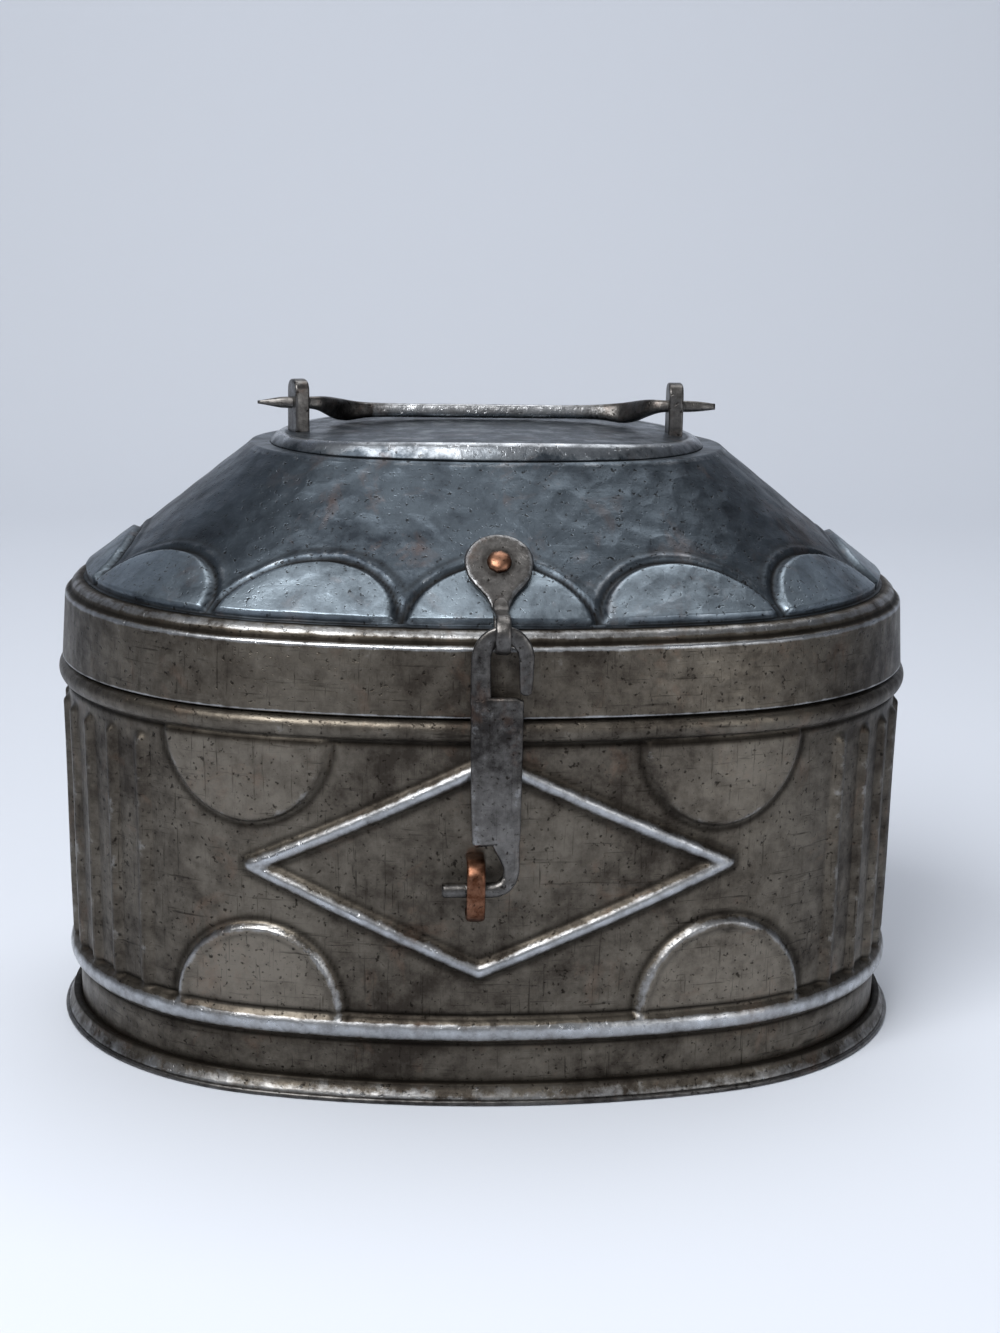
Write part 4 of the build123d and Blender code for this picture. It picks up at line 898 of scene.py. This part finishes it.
def build_hasp_plate():
    """Keyhole of sheet, and the strip that wraps under the strap's loop and back onto its own neck."""
    out, up = hasp_axes()
    arc = [(LEAF_RADIUS * math.cos(a), LEAF_RISE + (LEAF_RADIUS - LEAF_RISE) * math.sin(a))
           for a in np.radians(np.linspace(-12, 192, 44))]
    left = [(-8.3, -4.6), (-6.6, -7.2), (-5.0, -9.0), (-LEAF_NECK, -11.0), (-2.6, -13.6),
            (-HOOK_WIDTH / 2, -16.0)]
    right = [(-x, y) for x, y in left[::-1]]
    outline = np.array(arc + left + right)
    rings, wear, recess = [], [], []
    # Height over the seat, and share of the outline: under, round the edge and in over the dished face
    for lift, share in ((0.02, 0.2), (0.02, 0.96), (0.3, 0.995), (0.9, 1.0), (1.25, 0.975), (1.4, 0.93),
                        (1.4, 0.8), (1.36, 0.7), (1.3, 0.6), (1.26, 0.52), (1.24, 0.46), (1.24, 0.4),
                        (1.3, 0.32), (1.3, 0.1)):
        spots = outline * share
        rings.append(LEAF_SEAT + np.outer(spots[:, 0], (1, 0, 0)) + np.outer(spots[:, 1], up) + out * lift)
        wear.append(np.full(len(outline), 0.55 if 0.9 < share < 0.98 and lift > 0.1 else 0.05))
        round_rivet = chased(np.hypot(spots[:, 0], spots[:, 1]) - 4.0, 1.0)
        recess.append(0.8 * round_rivet + (0.6 if share == 1.0 else 0))
    leaf = surface("hasp_leaf", np.stack(rings), wear=np.stack(wear), recess=np.stack(recess))

    # The strip: down the neck, round the eye, and up to a tapered tip laid back on the neck
    height = (LEAF_SEAT + out * LEAF_THICKNESS / 2 - EYE) @ up
    spots = [(-EYE_RADIUS, s) for s in np.linspace(height - 10.5, 0.5, 8)]
    spots += [(EYE_RADIUS * math.cos(a), EYE_RADIUS * math.sin(a))
              for a in np.radians(np.linspace(180, 410, 48))]
    seat = LEAF_THICKNESS - EYE_RADIUS
    leave = spots[-1]
    spots += [(leave[0] + (seat - leave[0]) * s, leave[1] + (HOOK_TIP - leave[1]) * s)
              for s in (0.3, 0.55, 0.8)]
    # Place beyond the tip's start, and shares of the strip's width and thickness
    tip = np.array([(0.8, 1.15, 0.95), (2.2, 1.1, 0.85), (3.4, 0.95, 0.75), (4.2, 0.65, 0.65),
                    (4.7, 0.25, 0.5)])
    spots += [(seat, HOOK_TIP + s) for s in tip[:, 0]]
    path = np.array([EYE + out * a + up * b for a, b in spots])
    body = np.ones(len(path) - len(tip))
    widths, depths = np.append(body, tip[:, 1]) * HOOK_WIDTH, np.append(body, tip[:, 2]) * LEAF_THICKNESS
    return [leaf, sweep("hasp_strip", path, widths, depths, across=(1, 0, 0), corner=2.6)]


def forged_bar(name, stations, corner=3.4):
    """A bar in the strap's plane, from stations of X, height from the eye, width and thickness."""
    x, z, width, depth = np.array(stations).T
    steps = np.concatenate([[0], np.cumsum(np.hypot(np.diff(x), np.diff(z)))])
    fine = np.linspace(0, steps[-1], 60)
    x, z, width, depth = (np.interp(fine, steps, column) for column in (x, z, width, depth))
    round_share = np.clip((depth - STRAP_THICKNESS) / (2 * LOCK_PIN_RADIUS - STRAP_THICKNESS), 0, 1)
    path = EYE + np.outer(x, (1, 0, 0)) + np.outer(z, (0, 0, 1))
    return sweep(name, path, width, depth, corner=corner + (2.1 - corner) * round_share, sides=24)


def build_strap():
    """Forged strap: an open loop above and a round side pin below."""
    loop = [(6.2, -16.2, 1.6, 1.3), (6.3, -15.6, 3.2, 1.9), (6.4, -12.0, 3.7, 1.95)]
    loop += [(0.45 + 5.95 * math.cos(a), -6.6 + 6.55 * math.sin(a), 4.1 + 1.1 * a / math.pi, 1.95)
             for a in np.linspace(0, math.pi, 24)]
    loop += [(-5.5, -12.0, 5.3, 1.95), (-5.4, -18.0, 5.6, 1.9), (-5.0, -22.0, 5.0, 1.7)]
    blade = [(-1.0, -17.0, 11.0, 1.6), (-1.0, -17.4, 13.8, 2.0), (-1.1, -22.0, 13.9, 2.0),
             (-1.0, -42.0, 13.5, 2.0), (-0.8, -56.2, 12.8, 2.0), (-0.7, -56.8, 11.0, 1.6)]
    pin = LOCK_PIN_RADIUS * 2
    tail_z = STRAP_LOW[2] + LOCK_PIN_RADIUS - EYE[2]
    tail = [(1.4, -52.0, 7.6, 1.9), (1.9, -57.0, 7.3, 1.9), (2.7, -60.0, 5.7, 2.0), (3.3, -62.5, 4.6, 2.2),
            (3.4, -64.5, 4.3, 2.6), (2.9, -66.6, 4.2, 3.1), (1.6, -68.4, 4.2, 3.6),
            (-0.2, tail_z + 0.3, 4.2, 4.0)]
    tip = STRAP_LOW[0]
    tail += [(x, tail_z, pin * share, pin * share)
             for x, share in ((-2.4, 1), (-9.0, 0.97), (tip + 0.9, 0.96), (tip + 0.02, 0.8))]
    return [forged_bar("strap_loop", loop, 2.8), forged_bar("strap_blade", blade, 5.0),
            forged_bar("strap_tail", tail)]


def build_staple():
    """Square-bent staple of flat copper bar, its two legs driven into the wall."""
    middle = (STAPLE_LOW[2] + STAPLE_HIGH[2]) / 2
    half = (STAPLE_HIGH[2] - STAPLE_LOW[2] - STAPLE_THICKNESS) / 2
    back_of_bend = STAPLE_LOW[1] + STAPLE_THICKNESS / 2 + STAPLE_BEND
    top = [(STAPLE_HIGH[1], middle + half), (back_of_bend + 2, middle + half)]
    top += [(back_of_bend - STAPLE_BEND * math.sin(a), middle + half - STAPLE_BEND * (1 - math.cos(a)))
            for a in np.radians(np.linspace(0, 90, 10))]
    x = (STAPLE_LOW[0] + STAPLE_HIGH[0]) / 2
    path = [(x, y, z) for y, z in top] + [(x, y, 2 * middle - z) for y, z in top[::-1]]
    width = STAPLE_HIGH[0] - STAPLE_LOW[0]
    return sweep("copper_staple", path, width, STAPLE_THICKNESS, across=(1, 0, 0), sides=24)


def build_hasp_rivet():
    """Hammered copper rivet head with uneven flats."""
    out, up = hasp_axes()
    base = LEAF_SEAT + out * (LEAF_THICKNESS + 0.05)
    turns = np.linspace(0, 2 * math.pi, 18, endpoint=False)
    facet = 1 - 0.09 * np.abs(np.sin(4 * turns + 0.6))
    rim = np.outer(facet * np.cos(turns), (1, 0, 0)) + np.outer(facet * np.sin(turns), up)
    # Height, radius and wear of each ring
    lift, radius, wear = np.array([(-0.6, 1.5, 0), (-0.1, 3.55, 0.1), (0.6, 3.5, 0.3), (1.15, 3.1, 0.6),
                                   (1.6, 2.2, 0.8), (1.8, 0.9, 0.8)]).T[..., None]
    return surface("hasp_rivet_head", base + out * lift[..., None] + rim * radius[..., None], wear=wear)


# Node trees for what repeats or follows the oval
def node_group(name, inputs):
    """A Geometry Nodes tree with a mesh in, a mesh out and the named inputs."""
    tree = bpy.data.node_groups.new(name, "GeometryNodeTree")
    tree.interface.new_socket("Geometry", in_out="INPUT", socket_type="NodeSocketGeometry")
    for label, kind, value in inputs:
        socket = tree.interface.new_socket(label, in_out="INPUT", socket_type=kind)
        if value is not None:
            socket.default_value = value
    tree.interface.new_socket("Geometry", in_out="OUTPUT", socket_type="NodeSocketGeometry")
    return tree, add_node(tree, "NodeGroupInput").outputs


def finish_group(tree, given, shape):
    """End a tree in real geometry with its material on."""
    real = add_node(tree, "GeometryNodeRealizeInstances", {"Geometry": shape}).outputs[0]
    painted = add_node(tree, "GeometryNodeSetMaterial", {"Geometry": real, "Material": given["Material"]})
    add_node(tree, "NodeGroupOutput", {"Geometry": painted.outputs[0]})


def rivet_tree():
    """Faceted rivet heads on points, facing +Y, each turned and sized a little differently."""
    tree, given = node_group("Hinge rivets", [
        ("Head radius", "NodeSocketFloat", 0.0022), ("Head height", "NodeSocketFloat", RIVET_HEIGHT * MM),
        ("Facets", "NodeSocketInt", 8), ("Seed", "NodeSocketInt", 3),
        ("Material", "NodeSocketMaterial", None)])
    narrow = add_node(tree, "ShaderNodeMath", {0: given["Head radius"], 1: 0.55}, operation="MULTIPLY")
    head = add_node(tree, "GeometryNodeMeshCone", {
        "Vertices": given["Facets"], "Radius Top": narrow.outputs[0], "Radius Bottom": given["Head radius"],
        "Depth": given["Head height"]}).outputs["Mesh"]
    grow, angle = (add_node(tree, "FunctionNodeRandomValue", {2: least, 3: most, "Seed": given["Seed"]},
                            data_type="FLOAT").outputs[1] for least, most in ((0.9, 1.0), (0.0, 0.7)))
    copies = add_node(tree, "GeometryNodeInstanceOnPoints", {
        "Points": given["Geometry"], "Instance": head, "Rotation": (-math.pi / 2, 0.0, 0.0),
        "Scale": grow}).outputs[0]
    axis = add_node(tree, "ShaderNodeCombineXYZ", {"Z": angle}).outputs[0]
    turned = add_node(tree, "GeometryNodeRotateInstances", {"Instances": copies, "Rotation": axis}).outputs[0]
    finish_group(tree, given, turned)
    return tree


def hem_tree():
    """A rolled edge that follows an outline, a little uneven as hand work is."""
    tree, given = node_group("Rolled hem", [
        ("Radius", "NodeSocketFloat", 0.0008), ("Sides", "NodeSocketInt", 12),
        ("Unevenness", "NodeSocketFloat", 0.00008), ("Material", "NodeSocketMaterial", None)])
    line = add_node(tree, "GeometryNodeMeshToCurve", {"Mesh": given["Geometry"]}).outputs[0]
    noise = add_node(tree, "ShaderNodeTexNoise", {"Scale": 1 / (14 * MM), "Detail": 1.0}).outputs["Fac"]
    sway = add_node(tree, "ShaderNodeMath", {0: noise, 1: given["Unevenness"]}, operation="MULTIPLY")
    shift = add_node(tree, "ShaderNodeCombineXYZ", {"Z": sway.outputs[0]}).outputs[0]
    moved = add_node(tree, "GeometryNodeSetPosition", {"Geometry": line, "Offset": shift}).outputs[0]
    circle = add_node(tree, "GeometryNodeCurvePrimitiveCircle", {
        "Resolution": given["Sides"], "Radius": given["Radius"]}).outputs[0]
    tube = add_node(tree, "GeometryNodeCurveToMesh", {"Curve": moved, "Profile Curve": circle}).outputs[0]
    soft = add_node(tree, "GeometryNodeSetShadeSmooth", {"Geometry": tube}).outputs[0]
    finish_group(tree, given, soft)
    return tree


def run_tree(name, tree, points, edges, values):
    """Run a node tree on points in millimetres and return the plain mesh."""
    mesh = bpy.data.meshes.new(name)
    mesh.from_pydata([Vector(p) * MM for p in points], edges, [])
    piece = new_object(name, mesh)
    modifier = piece.modifiers.new(name, "NODES")
    modifier.node_group = tree
    sockets = {item.name: item.identifier for item in tree.interface.items_tree if item.in_out == "INPUT"}
    for label, value in values.items():
        modifier[sockets[label]] = value
    return baked(piece)


def rivet_places(low, high, rows):
    """Where a leaf's rivet heads start, from the solid rivets' box: three across, in rows."""
    margin = (high[0] - low[0] - RIVET_SPAN) / 2
    xs = np.linspace(low[0] + margin, high[0] - margin, 3)
    zs = np.linspace(low[2] + margin, high[2] - margin, rows)
    return [(x, high[1] - RIVET_HEIGHT, z) for z in zs for x in xs]


# Operators
class COPPERBOX_OT_wall(bpy.types.Operator):
    """Raise the drum's wall with its beads, diamond, half discs and ribs"""
    bl_idname = "copperbox.wall"
    bl_label = "Drum wall"

    def execute(self, context):
        place_piece("drum_wall", [build_wall()], wall_tin(), "box", "tinned_wall", "body_wall")
        return {"FINISHED"}


class COPPERBOX_OT_foot(bpy.types.Operator):
    """Flare the foot and roll its hem"""
    bl_idname = "copperbox.foot"
    bl_label = "Foot"

    def execute(self, context):
        place_piece("foot_skirt", [build_foot()], wall_tin(), "box", "tinned_wall", "foot_rim")
        radius = sizes().hem_radius
        turns, _ = turns_at(FOOT_HIGH[0], FOOT_HIGH[1], even(HEM_COLUMNS))
        inset = radius / MM + HEM_CLEARANCE + 0.01
        points = level_ring(FOOT_HIGH[0] - inset, FOOT_HIGH[1] - inset, turns, radius / MM + HEM_CLEARANCE)
        edges = [(i, (i + 1) % HEM_COLUMNS) for i in range(HEM_COLUMNS)]
        hem = run_tree("foot_hem", hem_tree(), points, edges, {"Radius": radius, "Material": fitting_tin()})
        place_piece("foot_hem", [hem], fitting_tin(), "box", "tinned_wall")
        return {"FINISHED"}


class COPPERBOX_OT_lid(bpy.types.Operator):
    """Make the lid's band, scalloped hood and crowned plate"""
    bl_idname = "copperbox.lid"
    bl_label = "Lid"

    def execute(self, context):
        place_piece("lid_band_sheet", [build_band()], wall_tin(), "lid", "tinned_wall", "lid_band")
        place_piece("scalloped_hood", [build_hood()], hood_tin(), "lid", "tinned_hood", "lid_hood")
        place_piece("crowned_plate", [build_top_plate()], hood_tin(), "lid", "tinned_hood", "lid_top_plate")
        return {"FINISHED"}


class COPPERBOX_OT_bail(bpy.types.Operator):
    """Forge the two ears and the bail that turns in them"""
    bl_idname = "copperbox.bail"
    bl_label = "Bail and ears"

    def execute(self, context):
        middle = (EAR_LOW[0] + EAR_HIGH[0]) / 2
        for name, twist, x, node in (("left_ear_tab", LEFT_EAR_TWIST, -middle, "left_ear"),
                                     ("right_ear_tab", 0.0, middle, "right_ear")):
            place_piece(name, [build_ear(name, twist, x)], fitting_tin(), "lid", "tinned_fittings", node)
        place_piece("bail_bar", [build_bail()], fitting_tin(), "bail", "tinned_fittings", "bail_handle")
        return {"FINISHED"}


class COPPERBOX_OT_hasp(bpy.types.Operator):
    """Make the hasp's plate, rivet, strap and staple"""
    bl_idname = "copperbox.hasp"
    bl_label = "Hasp"

    def execute(self, context):
        place_piece("hasp_leaf", build_hasp_plate(), fitting_tin(), "hasp_plate_body", "tinned_fittings",
                    "hasp_plate")
        place_piece("hasp_rivet_head", [build_hasp_rivet()], bare_copper(), "lid", "bare_copper",
                    "hasp_rivet")
        place_piece("strap_bar", build_strap(), fitting_tin(), "hasp", "tinned_fittings", "hasp_strap")
        place_piece("copper_staple", [build_staple()], bare_copper(), "box", "bare_copper", "staple")
        return {"FINISHED"}


class COPPERBOX_OT_hinge(bpy.types.Operator):
    """Rivet the hinge and finish the pieces that keep their solid shape"""
    bl_idname = "copperbox.hinge"
    bl_label = "Hinge and hidden pieces"

    def execute(self, context):
        scale = sizes()
        tree = rivet_tree()
        for name, body, node, box, rows in (("body_leaf_rivets", "box", "hinge_body_rivets", BODY_RIVETS, 2),
                                            ("lid_leaf_rivets", "lid", "hinge_lid_rivets", LID_RIVETS, 1)):
            mesh = run_tree(name, tree, rivet_places(*box, rows), [], {
                "Head radius": scale.rivet_radius, "Facets": scale.rivet_facets, "Material": bare_copper()})
            place_piece(name, [mesh], bare_copper(), body, "bare_copper", node)
        for node, material in (("hinge_body_leaf", fitting_tin()), ("hinge_lid_leaf", fitting_tin()),
                               ("hinge_pin", fitting_tin()), ("staple_backplate", fitting_tin()),
                               ("ear_clench_plates", fitting_tin()), ("bottom_pan", wall_tin())):
            frame["nodes"][node].data.materials.clear()
            frame["nodes"][node].data.materials.append(material)
        return {"FINISHED"}


class COPPERBOX_OT_stage(bpy.types.Operator):
    """Set up the pale floor, the soft light and the camera"""
    bl_idname = "copperbox.stage"
    bl_label = "Stage"

    def execute(self, context):
        self.add_backdrop()
        self.add_light(context)
        self.add_camera(context)
        context.scene.view_settings.view_transform = "Standard"
        return {"FINISHED"}

    def add_backdrop(self):
        """A floor that curves up behind the box."""
        side = [(FLOOR_FRONT, 0.0), (FLOOR_BACK, 0.0)]
        side += [(FLOOR_BACK + SWEEP_RADIUS * math.sin(a), SWEEP_RADIUS * (1 - math.cos(a)))
                 for a in np.radians(np.linspace(6, 84, 14))]
        side += [(FLOOR_BACK + SWEEP_RADIUS, z) for z in (SWEEP_RADIUS, BACKDROP_TOP)]
        points = [(x, y, z) for y, z in side for x in (-FLOOR_HALF_WIDTH, FLOOR_HALF_WIDTH)]
        faces = [(2 * i, 2 * i + 1, 2 * i + 3, 2 * i + 2) for i in range(len(side) - 1)]
        mesh = bpy.data.meshes.new("backdrop")
        mesh.from_pydata(points, [], faces)
        mesh.shade_smooth()
        mesh.materials.append(backdrop_paper())
        backdrop = new_object("backdrop", mesh)

    def add_light(self, context):
        """Three soft lamps and an even, pale room."""
        for name, (spot, size, power) in LAMPS.items():
            lamp = bpy.data.lights.new(name, "AREA")
            lamp.size = size
            lamp.energy = power
            light = new_object(name, lamp)
            light.location = spot
            light.rotation_euler = (Vector(LAMP_AIM) - Vector(spot)).to_track_quat("-Z", "Y").to_euler()
        world = bpy.data.worlds.new("studio_room")
        context.scene.world = world
        world.use_nodes = True
        tree = world.node_tree
        tree.nodes.clear()
        sky = add_node(tree, "ShaderNodeBackground", {
            "Color": rgba(colours().backdrop), "Strength": ROOM_STRENGTH})
        add_node(tree, "ShaderNodeOutputWorld", {"Surface": sky.outputs[0]})

    def add_camera(self, context):
        """The photograph's camera: a little left of the middle, looking down on the lid."""
        yaw, pitch, roll = CAMERA_YAW, CAMERA_PITCH, CAMERA_ROLL
        ahead = Vector((math.sin(yaw) * math.cos(pitch), math.cos(yaw) * math.cos(pitch), -math.sin(pitch)))
        right = Vector((math.cos(yaw), -math.sin(yaw), 0))
        above = right.cross(ahead)
        x_axis = right * math.cos(roll) + above * math.sin(roll)
        y_axis = above * math.cos(roll) - right * math.sin(roll)
        data = bpy.data.cameras.new("photo_camera")
        data.sensor_width = SENSOR
        data.lens = SENSOR * FOCAL_PX / FRAME_HEIGHT_PX
        camera = new_object("photo_camera", data)
        matrix = Matrix((x_axis, y_axis, -ahead)).transposed().to_4x4()
        matrix.translation = Vector(CAMERA_SPOT) * MM
        camera.matrix_world = matrix
        context.scene.camera = camera


class COPPERBOX_PT_panel(bpy.types.Panel):
    """Sizes, colours and build steps of the copper box"""
    bl_label = "Copper Box"
    bl_idname = "COPPERBOX_PT_panel"
    bl_space_type = "VIEW_3D"
    bl_region_type = "UI"
    bl_category = "Copper Box"

    def draw(self, context):
        for group in (context.scene.copper_box_sizes, context.scene.copper_box_colours):
            for key in group.__annotations__:
                self.layout.prop(group, key)
        for step in STEPS:
            self.layout.operator(step.bl_idname)


STEPS = (COPPERBOX_OT_stage, COPPERBOX_OT_wall, COPPERBOX_OT_foot, COPPERBOX_OT_lid, COPPERBOX_OT_bail,
         COPPERBOX_OT_hasp, COPPERBOX_OT_hinge)
CLASSES = (CopperBoxSizes, CopperBoxColours, *STEPS, COPPERBOX_PT_panel)


def register():
    for item in CLASSES:
        bpy.utils.register_class(item)
    bpy.types.Scene.copper_box_sizes = PointerProperty(type=CopperBoxSizes)
    bpy.types.Scene.copper_box_colours = PointerProperty(type=CopperBoxColours)


def unregister():
    del bpy.types.Scene.copper_box_sizes
    del bpy.types.Scene.copper_box_colours
    for item in reversed(CLASSES):
        bpy.utils.unregister_class(item)


def main():
    register()
    for step in STEPS:
        group, name = step.bl_idname.split(".")
        getattr(getattr(bpy.ops, group), name)()


if __name__ == "__main__":
    main()
